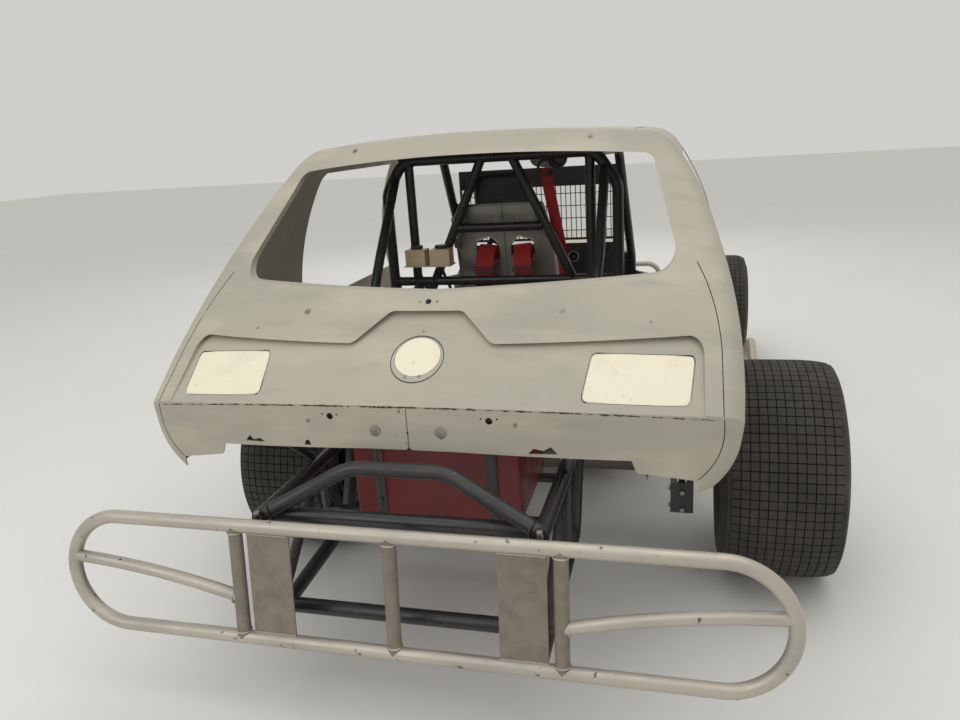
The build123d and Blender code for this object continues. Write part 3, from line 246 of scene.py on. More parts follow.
# colour, roughness, second colour, then metal, cloud scale and grain scale where they differ
PLAIN = {
    # tyre_groove: near-black floors between the tread blocks, which is painted shade in the recesses
    "tyre_groove": ((0.012, 0.011, 0.010), 0.9, (0.03, 0.026, 0.02)),
    "cast_grey": ((0.13, 0.125, 0.12), 0.55, (0.22, 0.12, 0.07), 0.5, 14),
    "cream_plastic": ((0.62, 0.52, 0.34), 0.4, (0.42, 0.3, 0.16)),
    "dark_sheet": ((0.035, 0.034, 0.034), 0.42, (0.09, 0.085, 0.075), 0, 7),
    "engine_metal": ((0.1, 0.1, 0.105), 0.5, (0.06, 0.045, 0.035), 0.3, 16),
    "pad_black": ((0.018, 0.018, 0.018), 0.55, (0.05, 0.048, 0.045), 0, 30, 400),
    "polished_alloy": ((0.42, 0.42, 0.41), 0.34, (0.2, 0.19, 0.17), 0.8, 12),
    "spring_metal": ((0.24, 0.022, 0.02), 0.35, (0.1, 0.02, 0.015)),
    "wheel_steel": ((0.06, 0.06, 0.062), 0.4, (0.13, 0.11, 0.09), 0.2, 10),
    "header_steel": ((0.2, 0.15, 0.12), 0.55, (0.3, 0.13, 0.06), 0.5, 18),
    # bumper posts and push plates: the bumper silver darkened as painted shade, clouded with scuffs
    "painted_shade_scuffed_plate": ((0.26, 0.225, 0.18), 0.5, (0.12, 0.1, 0.08), 0.35, 22),
    "seam_rust": ((0.045, 0.03, 0.022), 0.85, (0.16, 0.07, 0.035), 0, 60, 300),
    # gap_black: near black for joints, seams and gauge faces, and painted shade in the tail's open holes
    "gap_black": ((0.008, 0.008, 0.008), 0.9, (0.02, 0.018, 0.016)),
    "bolt_zinc": ((0.34, 0.32, 0.28), 0.4, (0.12, 0.1, 0.08), 0.8, 60),
}
# nodes with a finish that isn't the one of their slot: the bumper posts and push plates get a darker copy of
# the bumper silver, which is painted shade, clouded with real scuffs
NODE_FINISHES = {"bumper_posts": "painted_shade_scuffed_plate"}
FINISHES = {}


def finish(name):
    """The material of that name, made once."""
    if name not in FINISHES:
        maker = MAKERS.get(name)
        FINISHES[name] = maker(bpy.context.scene.car_look) if maker else plain_finish(name, *PLAIN[name])
    return FINISHES[name]


# ---------------------------------------------------------------- mesh tools
def piece(name, mesh, slot, materials=(), body="chassis", smooth=True):
    """A finished object made from a bmesh, riding on a body, with its slot's finish unless other finishes
    are listed.
    """
    data = bpy.data.meshes.new(name)
    bmesh.ops.recalc_face_normals(mesh, faces=mesh.faces)
    mesh.to_mesh(data)
    mesh.free()
    for entry in materials or [slot]:
        data.materials.append(finish(entry))
    made = bpy.data.objects.new(name, data)
    bpy.context.scene.collection.objects.link(made)
    if smooth:
        data.shade_smooth()
        data.set_sharp_from_angle(angle=math.radians(38))
    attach(made, body)
    return made


def facing(direction, origin):
    """A matrix that stands +Z along the direction at the origin."""
    turn = UP.rotation_difference(Vector(direction).normalized()).to_matrix().to_4x4()
    return Matrix.Translation(origin) @ turn


def raised(matrix, height):
    """The same stand, moved out along its own Z axis."""
    return matrix @ Matrix.Translation((0, 0, height))


def polar(radius, angle, height=0.0):
    return Vector((radius * math.cos(angle), radius * math.sin(angle), height))


def angles(count, start=0.0):
    """Angles spread evenly over a full turn."""
    return [math.tau * (k + start) / count for k in range(count)]


def add_disc(mesh, matrix, radius, height, sides=16, bevel=0.0, top=1.0):
    """A short round boss with its foot at the matrix."""
    made = bmesh.ops.create_cone(
        mesh, cap_ends=True, segments=sides, radius1=radius, radius2=radius * top, depth=height,
        matrix=raised(matrix, height / 2),
    )
    if bevel:
        rim = {e for v in made["verts"] for e in v.link_edges if len(e.link_faces) == 2}
        bmesh.ops.bevel(mesh, geom=list(rim), offset=bevel, segments=2, profile=0.5, affect="EDGES",
                        offset_type="OFFSET", material=-1)


def add_ring(mesh, matrix, radius, thick, sides=24, around=8):
    """A ring of round wire, such as a weld bead, about the matrix's Z axis."""
    section = matrix @ Matrix.Translation((radius, 0, 0)) @ Matrix.Rotation(math.pi / 2, 4, "X")
    start = bmesh.ops.create_circle(mesh, cap_ends=False, segments=around, radius=thick, matrix=section)
    edges = list({e for v in start["verts"] for e in v.link_edges})
    bmesh.ops.spin(mesh, geom=edges + start["verts"], angle=math.tau, steps=sides, use_merge=True,
                   axis=matrix.to_3x3() @ UP, cent=matrix.translation, use_duplicate=False)


def lathe(mesh, matrix, profile, steps=24):
    """Turns a profile of (radius, height) about the matrix's Z axis."""
    ring = [mesh.verts.new(matrix @ Vector((r, 0, z))) for r, z in profile]
    edges = [mesh.edges.new(pair) for pair in zip(ring, ring[1:])]
    bmesh.ops.spin(mesh, geom=ring + edges, angle=math.tau, steps=steps, use_merge=True,
                   axis=matrix.to_3x3() @ UP, cent=matrix.translation, use_duplicate=False)
    bmesh.ops.remove_doubles(mesh, verts=mesh.verts, dist=1e-6)


def smooth(points, rounds=3):
    """Cuts the corners of a run of points, keeping its two ends."""
    for _ in range(rounds):
        cut = [points[0]]
        for a, b in zip(points, points[1:]):
            cut += [a.lerp(b, 0.25), a.lerp(b, 0.75)]
        points = cut + [points[-1]]
    return points


def rounded(corners, radius, steps=6):
    """A closed outline with its corners rounded."""
    made = []
    for i, corner in enumerate(corners):
        before, here, after = (
            Vector((*corners[(i + k) % len(corners)], 0)) for k in (-1, 0, 1))
        start = here + (before - here).normalized() * radius
        end = here + (after - here).normalized() * radius
        for k in range(steps + 1):
            t = k / steps
            made.append(tuple(start.lerp(here, t).lerp(here.lerp(end, t), t).xy))
    return made


def skin_rows(mesh, rows, closed=False):
    """Joins rows of vertices into a tube, capped at both ends unless it closes on itself."""
    pairs = list(zip(rows, rows[1:])) + ([(rows[-1], rows[0])] if closed else [])
    for low, high in pairs:
        for k in range(len(low)):
            after = (k + 1) % len(low)
            mesh.faces.new((low[k], low[after], high[after], high[k]))
    if not closed:
        mesh.faces.new(rows[0])
        mesh.faces.new(rows[-1])


def sweep(mesh, points, radius, sides=8, closed=False):
    """A round bar, wire or hose along points in metres."""
    count = len(points)
    rings = []
    across = None
    for i, place in enumerate(points):
        before = points[i - 1] if i or closed else place
        after = points[(i + 1) % count] if i < count - 1 or closed else place
        along = (after - before).normalized()
        if across is None:
            across = along.orthogonal().normalized()
        across = (across - along * across.dot(along)).normalized()
        up = along.cross(across)
        rings.append([
            mesh.verts.new(place + (across * math.cos(a) + up * math.sin(a)) * radius)
            for a in angles(sides)
        ])
    skin_rows(mesh, rings, closed)


# across and out, in shares of half the width and of the thickness
STRAP_SECTION = ((-1, 0), (-0.9, 0.5), (0, 0.62), (0.9, 0.5), (1, 0), (0.9, -0.5), (0, -0.4), (-0.9, -0.5))


def strap(mesh, points, across, width, thick):
    """Flat webbing along points, with its width along the direction across."""
    side = across.normalized()
    rows = []
    for i, place in enumerate(points):
        before, after = points[max(i - 1, 0)], points[min(i + 1, len(points) - 1)]
        out = (after - before).normalized().cross(side).normalized()
        rows.append([mesh.verts.new(place + side * (u * width / 2) + out * (lift * thick))
                     for u, lift in STRAP_SECTION])
    skin_rows(mesh, rows)


def slab(mesh, low, high):
    """A closed slab between two outlines that have as many points."""
    skin_rows(mesh, [[mesh.verts.new(point) for point in outline] for outline in (low, high)])


def touch(names, start, direction):
    """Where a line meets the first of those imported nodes, and which way that skin faces."""
    direction = Vector(direction)
    hits = []
    for name in names:
        found, place, normal, _ = frame["nodes"][name].ray_cast(start, direction)
        if found:
            hits.append(((place - start).length, place, normal))
    if not hits:
        raise ValueError(f"nothing of {names} lies there")
    _, place, normal = min(hits, key=lambda hit: hit[0])
    return place, -normal if normal.dot(direction) > 0 else normal


# ---------------------------------------------------------------- tyres
RIM_R = 0.190
SHOULDER = 0.032        # from the tread's edge to the wall's widest point
CROWN = 0.010           # how much lower the tread's edge is than its middle
BLOCK_DEPTH = 0.006
GROOVE = 0.0018         # half a groove's width
# node, body, centre in mm, radius and width in mm, ribs across and blocks around
TYRES = [
    ("tyre_rear_right", "wheel_rear_right", (-1040, 0, 372), 372, 385, 12, 78),
    ("tyre_rear_left", "wheel_rear_left", (690, 0, 360), 360, 360, 11, 76),
    ("tyre_front_right", "wheel_front_right", (-1020, -2692, 336), 336, 240, 7, 70),
    ("tyre_front_left", "wheel_front_left", (720, -2692, 330), 330, 240, 7, 70),
]


def tyre(node, body, centre, radius, width, ribs, blocks):
    """A wide race tyre: cut tread blocks on a crowned face, round shoulders and bulging walls."""
    hub = at(*centre)
    radius, half = radius * MM, width * MM / 2
    tread_half = half - SHOULDER
    wall = [
        (0.052 - half, RIM_R), (0.040 - half, RIM_R + 0.012), (0.012 - half, RIM_R + 0.040),
        (0.001 - half, RIM_R + 0.080), (0.002 - half, radius - 0.075), (0.012 - half, radius - 0.032),
        (0.020 - half, radius - 0.016),
    ]
    tread = []
    for i in range(ribs + 1):
        x = tread_half * (2 * i / ribs - 1)
        tread.append((x, radius - BLOCK_DEPTH - 0.0005 - CROWN * (x / tread_half) ** 4))
    profile = wall + tread + [(-x, r) for x, r in reversed(wall)]
    mesh = bmesh.new()
    ring = [mesh.verts.new(hub + Vector((x, 0, r))) for x, r in profile]
    edges = [mesh.edges.new(pair) for pair in zip(ring, ring[1:])]
    bmesh.ops.spin(mesh, geom=ring + edges, angle=math.tau, steps=blocks, use_merge=True,
                   axis=LEFT, cent=hub, use_duplicate=False)
    bmesh.ops.remove_doubles(mesh, verts=mesh.verts, dist=1e-5)
    bmesh.ops.recalc_face_normals(mesh, faces=mesh.faces)
    treads = []
    for face in mesh.faces:
        mid = face.calc_center_median() - hub
        if abs(mid.x) < tread_half and math.hypot(mid.y, mid.z) > radius - 0.03:
            treads.append(face)
            # the groove ring left by the first inset keeps index 1, whose near-black colour is painted shade
            face.material_index = 1
    bmesh.ops.inset_individual(mesh, faces=treads, thickness=GROOVE, depth=0.0)
    for face in treads:
        face.material_index = 0
    sides = bmesh.ops.inset_individual(mesh, faces=treads, thickness=0.0004, depth=BLOCK_DEPTH)
    for face in sides["faces"]:
        face.material_index = 0
    name = node.replace("tyre", "treaded_tyre")
    made = piece(name, mesh, "tyre_rubber", ["tyre_rubber", "tyre_groove"], body)
    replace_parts(made, node)


# ---------------------------------------------------------------- shell details
TAIL = ["tail_panel", "rear_valance", "quarter_left", "quarter_right", "lamp_covers", "filler_cover",
        "roof_panel"]
# how far in X and Z to look beside a point that falls in a gap between sheets
NUDGES = [(0, 0), (0, 4), (0, -4), (4, 0), (-4, 0), (0, 9), (0, -9), (9, 0), (-9, 0), (16, 0), (-16, 0)]
BEHIND = 1500                   # Y of a line's start, clear behind the tail
LAMP_CORNERS = [(760, 938), (486, 956), (468, 861), (745, 845)]
CREASE_HALF, CREASE_Z, CREASE_DROP = 829, 850.4, 37
RUST_HALF, RUST_STEPS = 812, 270
FILLER_Z, FILLER_HALF, FILLER_RISE = 950, 77.5, 49.5
# X, Z, washer radius and head radius
TAIL_SCREWS = [
    (394, 1056, 11, 5), (-394, 1056, 11, 5), (27, 1084, 4, 2.5), (-27, 1084, 4, 2.5),
    (95, 780, 17, 6), (-95, 780, 17, 6), (20, 838, 5, 3), (300, 800, 6, 3), (-300, 806, 6, 3),
    (0, 1010, 3, 2), (-18, 914, 4, 2.5), (22, 912, 4, 2.5), (560, 1010, 4, 2), (-640, 1020, 4, 2),
]
# X, Z and radius
# each open hole is drawn as a black disc on the skin, which is painted shade
TAIL_HOLES = [(0, 1084, 9), (0, 776, 3), (-95, 764, 3), (6, 745, 2)]
HOOD_BUTTONS = [(408, -1700), (366, -2300), (324, -2900)]


def from_behind(x, z):
    """The tail's skin at X, Z, or level with the nearest skin where the sheets part."""
    for dx, dz in NUDGES:
        start = at(x + dx, BEHIND, z + dz)
        if any(frame["nodes"][name].ray_cast(start, -BACK)[0] for name in TAIL):
            place, normal = touch(TAIL, start, -BACK)
            return place - Vector((dx, 0, dz)) * MM, normal
    raise ValueError(f"no skin near {x}, {z}")


def line_on_tail(mesh, points, widths, lift, index):
    """A narrow dark line that lies on the tail along X, Z points in mm."""
    rows = []
    for i, (x, z) in enumerate(points):
        x0, z0 = points[max(i - 1, 0)]
        x1, z1 = points[min(i + 1, len(points) - 1)]
        run = math.hypot(x1 - x0, z1 - z0)
        ax, az = -(z1 - z0) / run, (x1 - x0) / run
        above, below = widths[i] if isinstance(widths, list) else (widths, widths)
        pair = []
        for reach in (-below, above):
            place, normal = from_behind(x + ax * reach, z + az * reach)
            pair.append(mesh.verts.new(place + normal * lift * MM))
        rows.append(pair)
    for (a, b), (c, d) in zip(rows, rows[1:]):
        mesh.faces.new((a, b, d, c)).material_index = index


def arc_points(a, b, c, count):
    """Points on the parabola that passes a, b and c, b being in the middle."""
    made = []
    for i in range(count + 1):
        t = i / count
        made.append(tuple(p * (1 - t) * (1 - 2 * t) + q * 4 * t * (1 - t) + r * t * (2 * t - 1)
                          for p, q, r in zip(a, b, c)))
    return made


def rusted_joint(mesh):
    """The ragged, broken line where the tail's lid meets the valance."""
    rng = random.Random(7)
    line, widths, gap = [], [], 0
    for i in range(RUST_STEPS + 1):
        x = RUST_HALF * (2 * i / RUST_STEPS - 1)
        outward = abs(x / RUST_HALF)
        line.append((x, CREASE_Z - CREASE_DROP * (x / CREASE_HALF) ** 2 + rng.uniform(-0.6, 0.6)))
        if gap > 0:
            gap -= 1
        elif rng.random() < 0.07 + 0.1 * outward:
            gap = rng.randint(2, 5)
        size = 0.25 if gap > 0 else rng.uniform(1.0, 3.6) * (1.25 - 0.6 * outward)
        widths.append((size * rng.uniform(0.4, 1), size * rng.uniform(0.5, 1.2)))
    line_on_tail(mesh, line, widths, 0.7, 0)


def seams():
    """Rusted and plain joint lines between the tail's sheets."""
    mesh = bmesh.new()
    rusted_joint(mesh)
    upper = arc_points((764, 1149), (808, 1055), (828, 950), 16)[:-1]
    upper += [(828, 950 - 9 * k) for k in range(15)]
    lower = arc_points((829, 816), (819, 722), (766, 650), 30)
    for side in (-1, 1):
        for run in (upper, lower):
            line_on_tail(mesh, [(side * x, z) for x, z in run], 1.1, 0.5, 1)
    line_on_tail(mesh, [(1.5 * math.sin(z), z) for z in range(846, 730, -4)], 0.9, 0.5, 1)
    for side in (-1, 1):
        outline = rounded([(side * x, z) for x, z in LAMP_CORNERS], 17)
        line_on_tail(mesh, outline + outline[:2], 1.4, 0.9, 1)
    ring = [(math.sin(a) * FILLER_HALF, FILLER_Z + math.cos(a) * FILLER_RISE)
            for a in (math.tau * k / 48 for k in range(50))]
    line_on_tail(mesh, ring, 1.0, 0.6, 1)
    piece("tail_seams", mesh, "primer_body", ["seam_rust", "gap_black"], smooth=False)


def screw(mesh, hit, rows):
    """A stack of discs sunk a little into the skin: radius, height, sides and bevel of each, in mm."""
    place, normal = hit
    stand = facing(normal, place - normal * MM)
    for radius, height, sides, bevel in rows:
        add_disc(mesh, stand, radius * MM, height * MM, sides, bevel * MM)


def fasteners():
    """Screws and plugs in the body sheets, and black discs of painted shade for their open holes."""
    mesh = bmesh.new()
    for x, z, washer, head in TAIL_SCREWS:
        screw(mesh, from_behind(x, z), [(washer, 2.2, 20, 0.5), (head, 4.2, 6 if head > 4 else 12, 0.5)])
    for x in (422, -422):
        screw(mesh, touch(["roof_panel"], at(x, -34, 1900), -UP), [(10, 2.5, 20, 0.6), (5, 6, 6, 0.6)])
    for side, door in ((-1, "door_right"), (1, "door_left")):
        for y in range(-1080, -180, 120):
            screw(mesh, touch(["roof_panel"], at(side * 560, y, 1900), -UP), [(5, 2.8, 12, 0.8)])
        for z in (345, 560, 830):
            for y in (-1380, -1140, -900, -660):
                screw(mesh, touch([door], at(side * 1400, y, z), -side * LEFT), [(6, 3, 12, 0.8)])
    piece("body_screws", mesh, "primer_body", ["bolt_zinc"])
    mesh = bmesh.new()
    # black discs where the holes are: painted shade
    for x, z, radius in TAIL_HOLES:
        place, normal = from_behind(x, z)
        add_disc(mesh, facing(normal, place - normal * 0.0006), radius * MM, 0.0012, 20)
    piece("tail_hole_shade_discs", mesh, "primer_body", ["gap_black"])
    mesh = bmesh.new()
    for side in (-1, 1):
        for x, y in HOOD_BUTTONS:
            hit = touch(["hood_panel"], at(side * x, y, 1400), -UP)
            screw(mesh, hit, [(16, 3, 24, 0.8), (9, 7, 6, 1)])
    piece("hood_buttons", mesh, "primer_body", ["bolt_zinc"])


# ---------------------------------------------------------------- bumper and frame details
BEAD = 0.0026           # radius of a weld bead
POST_LEAN = (0, 0.107, -1)
# X, Y, Z, axis and radius of the welded ends of tubes, mirrored left and right
WELDS = [
    (445, 1000, 555, POST_LEAN, 20), (445, 1031, 268, POST_LEAN, 20),
    (464, 1020, 367, (1, 0, 0.1), 18), (396, 560, 548, (0, 0, 1), 17), (392, 560, 310, (0, 0, 1), 17),
    (396, 590, 545, (0, 1, -0.9), 17), (389, 915, 290, (0, 1, -0.9), 17), (372, 900, 563, (1, 0, 0), 23),
    (364, 900, 270, (1, 0, 0), 23), (378, 560, 401, (1, 0, 0), 17), (374, 250, 401, (1, 0, 0), 17),
    (390, 250, 556, (0, 0, 1), 17), (393, 80, 834, (1, 0, 0), 20),
    (372, -450, 1438, (0, 0, 1), 20), (372, -450, 722, (0, 0, 1), 20), (456, -450, 960, (1, 0, 0), 20),
    (440, -460, 250, (1, 0, 0), 23), (440, -1060, 250, (1, 0, 0), 23), (440, -1660, 250, (1, 0, 0), 23),
    (640, -980, 540, (0, 0, 1), 17), (640, -980, 761, (0, 0, 1), 17), (306, -3060, 430, (1, 0, 0), 26),
    (306, -2440, 430, (1, 0, 0), 26), (314, -2692, 676, (1, 0, 0), 17), (330, -2692, 458, (0, 0, 1), 17),
    (366, 942, 590, (1, 0.3, -0.3), 22), (155, -450, 1180, (1, 0, 0), 20), (330, -3330, 500, (0, 0, 1), 20),
    (330, -3330, 350, (0, 0, 1), 20), (478, -450, 330, (0, 0, 1), 23), (465, -1580, 330, (0, 0, 1), 23),
]
BUMPERS_FROM = (-3300, 990)     # what lies beyond these in Y is a silver bumper
PLATE_EDGES = [(1001, 554), (1030.5, 268)]
CELL_BACK, CELL_FRONT, CELL_TOP = 604, 196, 741.5
CELL_CAP = (60, 400)


def welds():
    """Weld beads round the ends of the tubes, and along the push plates."""
    rng = random.Random(3)
    silver, black = bmesh.new(), bmesh.new()
    for x, y, z, axis, radius in WELDS:
        mesh = black if BUMPERS_FROM[0] <= y <= BUMPERS_FROM[1] else silver
        for side in (-1, 1):
            stand = facing((side * axis[0], axis[1], axis[2]), at(side * x, y, z))
            add_ring(mesh, stand, radius * MM, BEAD, 22, 6)
    for y, z in PLATE_EDGES:
        for side in (-1, 1):
            run = [at(side * (286 + 3 * k), y + 3.5 + rng.uniform(-0.5, 0.5), z + rng.uniform(-0.8, 0.8))
                   for k in range(42)]
            sweep(silver, run, BEAD, 6)
        add_ring(silver, facing(POST_LEAN, at(0, y - 1, z)), 0.020, BEAD, 22, 6)
    piece("bumper_welds", silver, "bumper_silver")
    piece("frame_welds", black, "frame_black")


def frame_hardware():
    """Bolted tabs at the hoop's feet, the cell's straps and cap, and the hanging chain."""
    mesh = bmesh.new()
    for side in (-1, 1):
        for y, z in ((958, 582), (982, 570)):
            add_disc(mesh, facing((side, 0, 0), at(side * 383, y, z)), 0.009, 0.014, 6, 0.0008)
        add_disc(mesh, facing(UP, at(side * 389, 970, 594)), 0.009, 0.010, 6, 0.0008)
    piece("tab_bolts", mesh, "frame_black", ["bolt_zinc"])
    mesh = bmesh.new()
    for x in (-180, 180):
        run = [(CELL_BACK, 424), (CELL_BACK, 700), (603, 733), (594, 741), (560, CELL_TOP),
               (240, CELL_TOP), (206, 741), (197, 733), (CELL_FRONT, 700), (CELL_FRONT, 424)]
        strap(mesh, smooth([at(x, y, z) for y, z in run], 1), LEFT, 0.032, 0.0025)
        add_disc(mesh, facing(BACK, at(x, CELL_BACK, 470)), 0.008, 0.009, 6, 0.0008)
    piece("cell_straps", mesh, "dark_sheet")
    mesh = bmesh.new()
    flange = facing(UP, at(*CELL_CAP, 736))
    add_disc(mesh, flange, 0.085, 0.008, 40, 0.001)
    add_disc(mesh, raised(flange, 0.007), 0.045, 0.030, 32, 0.003)
    for a in angles(12):
        add_disc(mesh, flange @ Matrix.Translation(polar(0.074, a, 0.007)), 0.005, 0.006, 6)
    add_ring(mesh, raised(flange, 0.016), 0.046, 0.003, 32, 8)
    piece("cell_filler", mesh, "bare_aluminium")
    mesh = bmesh.new()
    for k in range(7):
        link = facing(BACK if k % 2 else LEFT, at(-612, 130, 455 - 15 * k))
        oval = [link @ Vector((math.sin(a) * 0.006, math.cos(a) * 0.011, 0)) for a in angles(16)]
        sweep(mesh, oval, 0.002, 6, closed=True)
    sweep(mesh, [at(-612, 110, 470), at(-612, 130, 468), at(-612, 131, 462)], 0.003, 6)
    piece("hanging_chain", mesh, "cast_grey", ["bolt_zinc"])


# ---------------------------------------------------------------- cockpit
SEAT_LOW = (-640, 520)          # Y and Z at the foot of the back
SEAT_LEAN = math.atan2(140, 750)
SEAT_BACK = Vector((0, math.cos(SEAT_LEAN), -math.sin(SEAT_LEAN)))
SEAT_UP = Vector((0, math.sin(SEAT_LEAN), math.cos(SEAT_LEAN)))
SEAT_TOP = 760
SEAT_EDGE = [(206, 20), (206, 615), (171, SEAT_TOP)]
BELT_SLOT = [(22, 515), (22, 585), (60, 627), (125, 605), (130, 515)]
# X, Y and Z down one shoulder belt, from its bar to the lap
BELT = [(92, -471.5, 860), (86, -471.5, 960), (80, -471.5, 1040), (74, -524, 1098), (72, -556, 1092),
        (72, -576, 1010), (72, -594, 880), (72, -612, 742)]
# X and Z of the middle of each slide
BELT_SLIDES = [(89, 905), (83, 1000)]
NET_STRAP = [(-196, -480, 1400), (-200, -486, 1330), (-222, -494, 1200), (-244, -496, 1071),
             (-258, -492, 960), (-262, -480, 900)]
PAD_HALF = (0.116, 0.0845, 0.031)
PAD_SIDES = 64
PIPING_OUT = 0.014
SLEEVE_BAR = ((-255, -450, 1440), (-40, -1120, 1425))
SLEEVE_SPAN = (0.075, 0.895)
SLEEVE_R = 0.0415
SLEEVE_TIES = (0.08, 0.36, 0.64, 0.92)


def on_back(x, along, out=0.0):
    """A point on the seat's back: across, up along it and out behind it, in mm."""
    return at(x, *SEAT_LOW) + (SEAT_UP * along + SEAT_BACK * out) * MM


def seat_details():
    """Rolled edges, a centre seam, brackets and rivets on the aluminium seat."""
    mesh = bmesh.new()
    for side in (-1, 1):
        sweep(mesh, [on_back(side * x, along, 2) for x, along in SEAT_EDGE], 0.005)
        rim = rounded([(side * x, along) for x, along in BELT_SLOT], 14, 4)
        sweep(mesh, [on_back(x, along, 5) for x, along in rim], 0.0035, closed=True)
        for along in (470, 640, 700):
            for across in (60, 110, 160):
                rivet = facing(SEAT_BACK, on_back(side * across, along, 3.5))
                add_disc(mesh, rivet, 0.004, 0.0035, 10, 0.0008)
    sweep(mesh, [on_back(side * SEAT_EDGE[-1][0], SEAT_TOP, 2) for side in (-1, 1)], 0.005)
    piece("seat_edges", mesh, "bare_aluminium")
    mesh = bmesh.new()
    for along in (600, 690):
        outline = rounded([(188, along - 22), (222, along - 22), (222, along + 22), (188, along + 22)], 6, 3)
        slab(mesh, *([on_back(x, a, out) for x, a in outline] for out in (4.2, 8.2)))
        for x in (196, 214):
            add_disc(mesh, facing(SEAT_BACK, on_back(x, along, 8)), 0.006, 0.006, 6, 0.0008)
    piece("seat_brackets", mesh, "bare_aluminium", ["bolt_zinc"])
    mesh = bmesh.new()
    sweep(mesh, [on_back(0, 440 + 318 * k / 8, 4.4) for k in range(9)], 0.0013, 6)
    piece("seat_seam", mesh, "dark_sheet", ["gap_black"])


def belts():
    """Two shoulder belts over their cross bar and through the seat, with slides, and the net strap."""
    mesh, steel = bmesh.new(), bmesh.new()
    for side in (-1, 1):
        run = smooth([at(side * x, y, z) for x, y, z in BELT])
        strap(mesh, run, Vector((1, 0, side * 0.10)), 0.074, 0.003)
        for x, z in BELT_SLIDES:
            rim = rounded([(-41, -11), (41, -11), (41, 11), (-41, 11)], 4, 3)
            sweep(steel, [at(side * x + a, -466.5, z + b) for a, b in rim], 0.0028, closed=True)
            sweep(steel, [at(side * x + a, -466, z) for a in (-40, 40)], 0.0026)
    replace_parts(piece("belt_webbing", mesh, "red_belt"), "shoulder_belts")
    piece("belt_slides", steel, "dark_sheet")
    mesh = bmesh.new()
    strap(mesh, smooth([at(*row) for row in NET_STRAP]), Vector((1, 0.25, 0.15)), 0.048, 0.003)
    piece("net_strap", mesh, "red_belt")
    mesh = bmesh.new()
    loop = [at(-196, -482, 1406) + Vector((0.034 * math.cos(a), 0, 0.030 * math.sin(a))) for a in angles(28)]
    sweep(mesh, loop, 0.006, closed=True)
    sweep(mesh, [at(-262, -480, 905), at(-300, -462, 880), at(-372, -452, 872)], 0.006)
    piece("net_loops", mesh, "pad_black")


def power(value, exponent):
    return math.copysign(abs(value) ** exponent, value)


def cushion_point(u, v, out, grow=0.0):
    """A point on the crowned pad at those angles, with its sides pulled in between the corners."""
    width, rise, _ = PAD_HALF
    pull = 1 - 0.035 * math.sin(u * 2) ** 2 * abs(math.cos(v))
    x = (width + grow) * power(math.cos(v), 0.32) * power(math.cos(u), 0.36)
    along = (rise + grow) * power(math.cos(v), 0.32) * power(math.sin(u), 0.36)
    tuft = 0.0 if grow else 0.004 * math.exp(-((x / 0.03) ** 2 + (along / 0.03) ** 2))
    out -= math.copysign(tuft, out)
    return on_back(0, 793, -30.5) + LEFT * x * pull + SEAT_UP * along * pull + SEAT_BACK * out


def head_cushion():
    """The crowned head pad with its piped seams."""
    mesh = bmesh.new()
    rows = []
    for i in range(1, 24):
        v = math.pi * (i / 24 - 0.5)
        out = PAD_HALF[2] * power(math.sin(v), 0.62)
        rows.append([mesh.verts.new(cushion_point(u, v, out)) for u in angles(PAD_SIDES)])
    skin_rows(mesh, rows)
    for out in (-PIPING_OUT, PIPING_OUT):
        v = math.copysign(math.asin((PIPING_OUT / PAD_HALF[2]) ** (1 / 0.62)), out)
        sweep(mesh, [cushion_point(u, v, out, 0.0005) for u in angles(PAD_SIDES)], 0.0022, closed=True)
    pad = piece("head_cushion", mesh, "pad_black")
    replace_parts(pad, "head_pad")


def bar_sleeve():
    """The padded sleeve on the roof's diagonal bar, drawn in by its ties."""
    start, end = (at(*place) for place in SLEEVE_BAR)
    low, high = (start.lerp(end, share) for share in SLEEVE_SPAN)
    length = (high - low).length
    profile = [(0.0192, 0.0), (0.034, 0.0), (0.0405, 0.006)]
    for k in range(1, 40):
        t = k / 40
        tie = min(abs(t - place) for place in SLEEVE_TIES)
        waist = 0.006 * math.exp(-(tie / 0.012) ** 2)
        profile.append((SLEEVE_R - waist + 0.0006 * math.sin(t * 41), t * length))
    profile += [(0.0405, length - 0.006), (0.034, length), (0.0192, length)]
    mesh = bmesh.new()
    lathe(mesh, facing(high - low, low), profile, 36)
    sleeve = piece("bar_sleeve", mesh, "pad_black")
    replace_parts(sleeve, "head_pad")
    mesh = bmesh.new()
    for place in SLEEVE_TIES:
        stand = facing(high - low, low.lerp(high, place))
        add_ring(mesh, stand, 0.0365, 0.002, 32, 6)
        add_disc(mesh, stand @ Matrix.Translation((0.038, 0, -0.003)), 0.004, 0.006, 8)
    piece("sleeve_ties", mesh, "pad_black", ["dark_sheet"])


DASH_Y, DASH_SHEET_Y, GAUGE_Z = -1238, -1260, 925
# X and radius of each gauge
GAUGES = [(-190, 26), (-120, 26), (-30, 45), (80, 26), (150, 26)]
WHEEL_HUB, COLUMN_FOOT = Vector((0, -905, 985)), Vector((0, -1545, 700))
GRIP_RING_R = 0.180
RESERVOIRS = [345, 240]
# half width, front, back and cap centre of a reservoir
RESERVOIR_BOX = (42.5, -422.5, -353.5, -388)


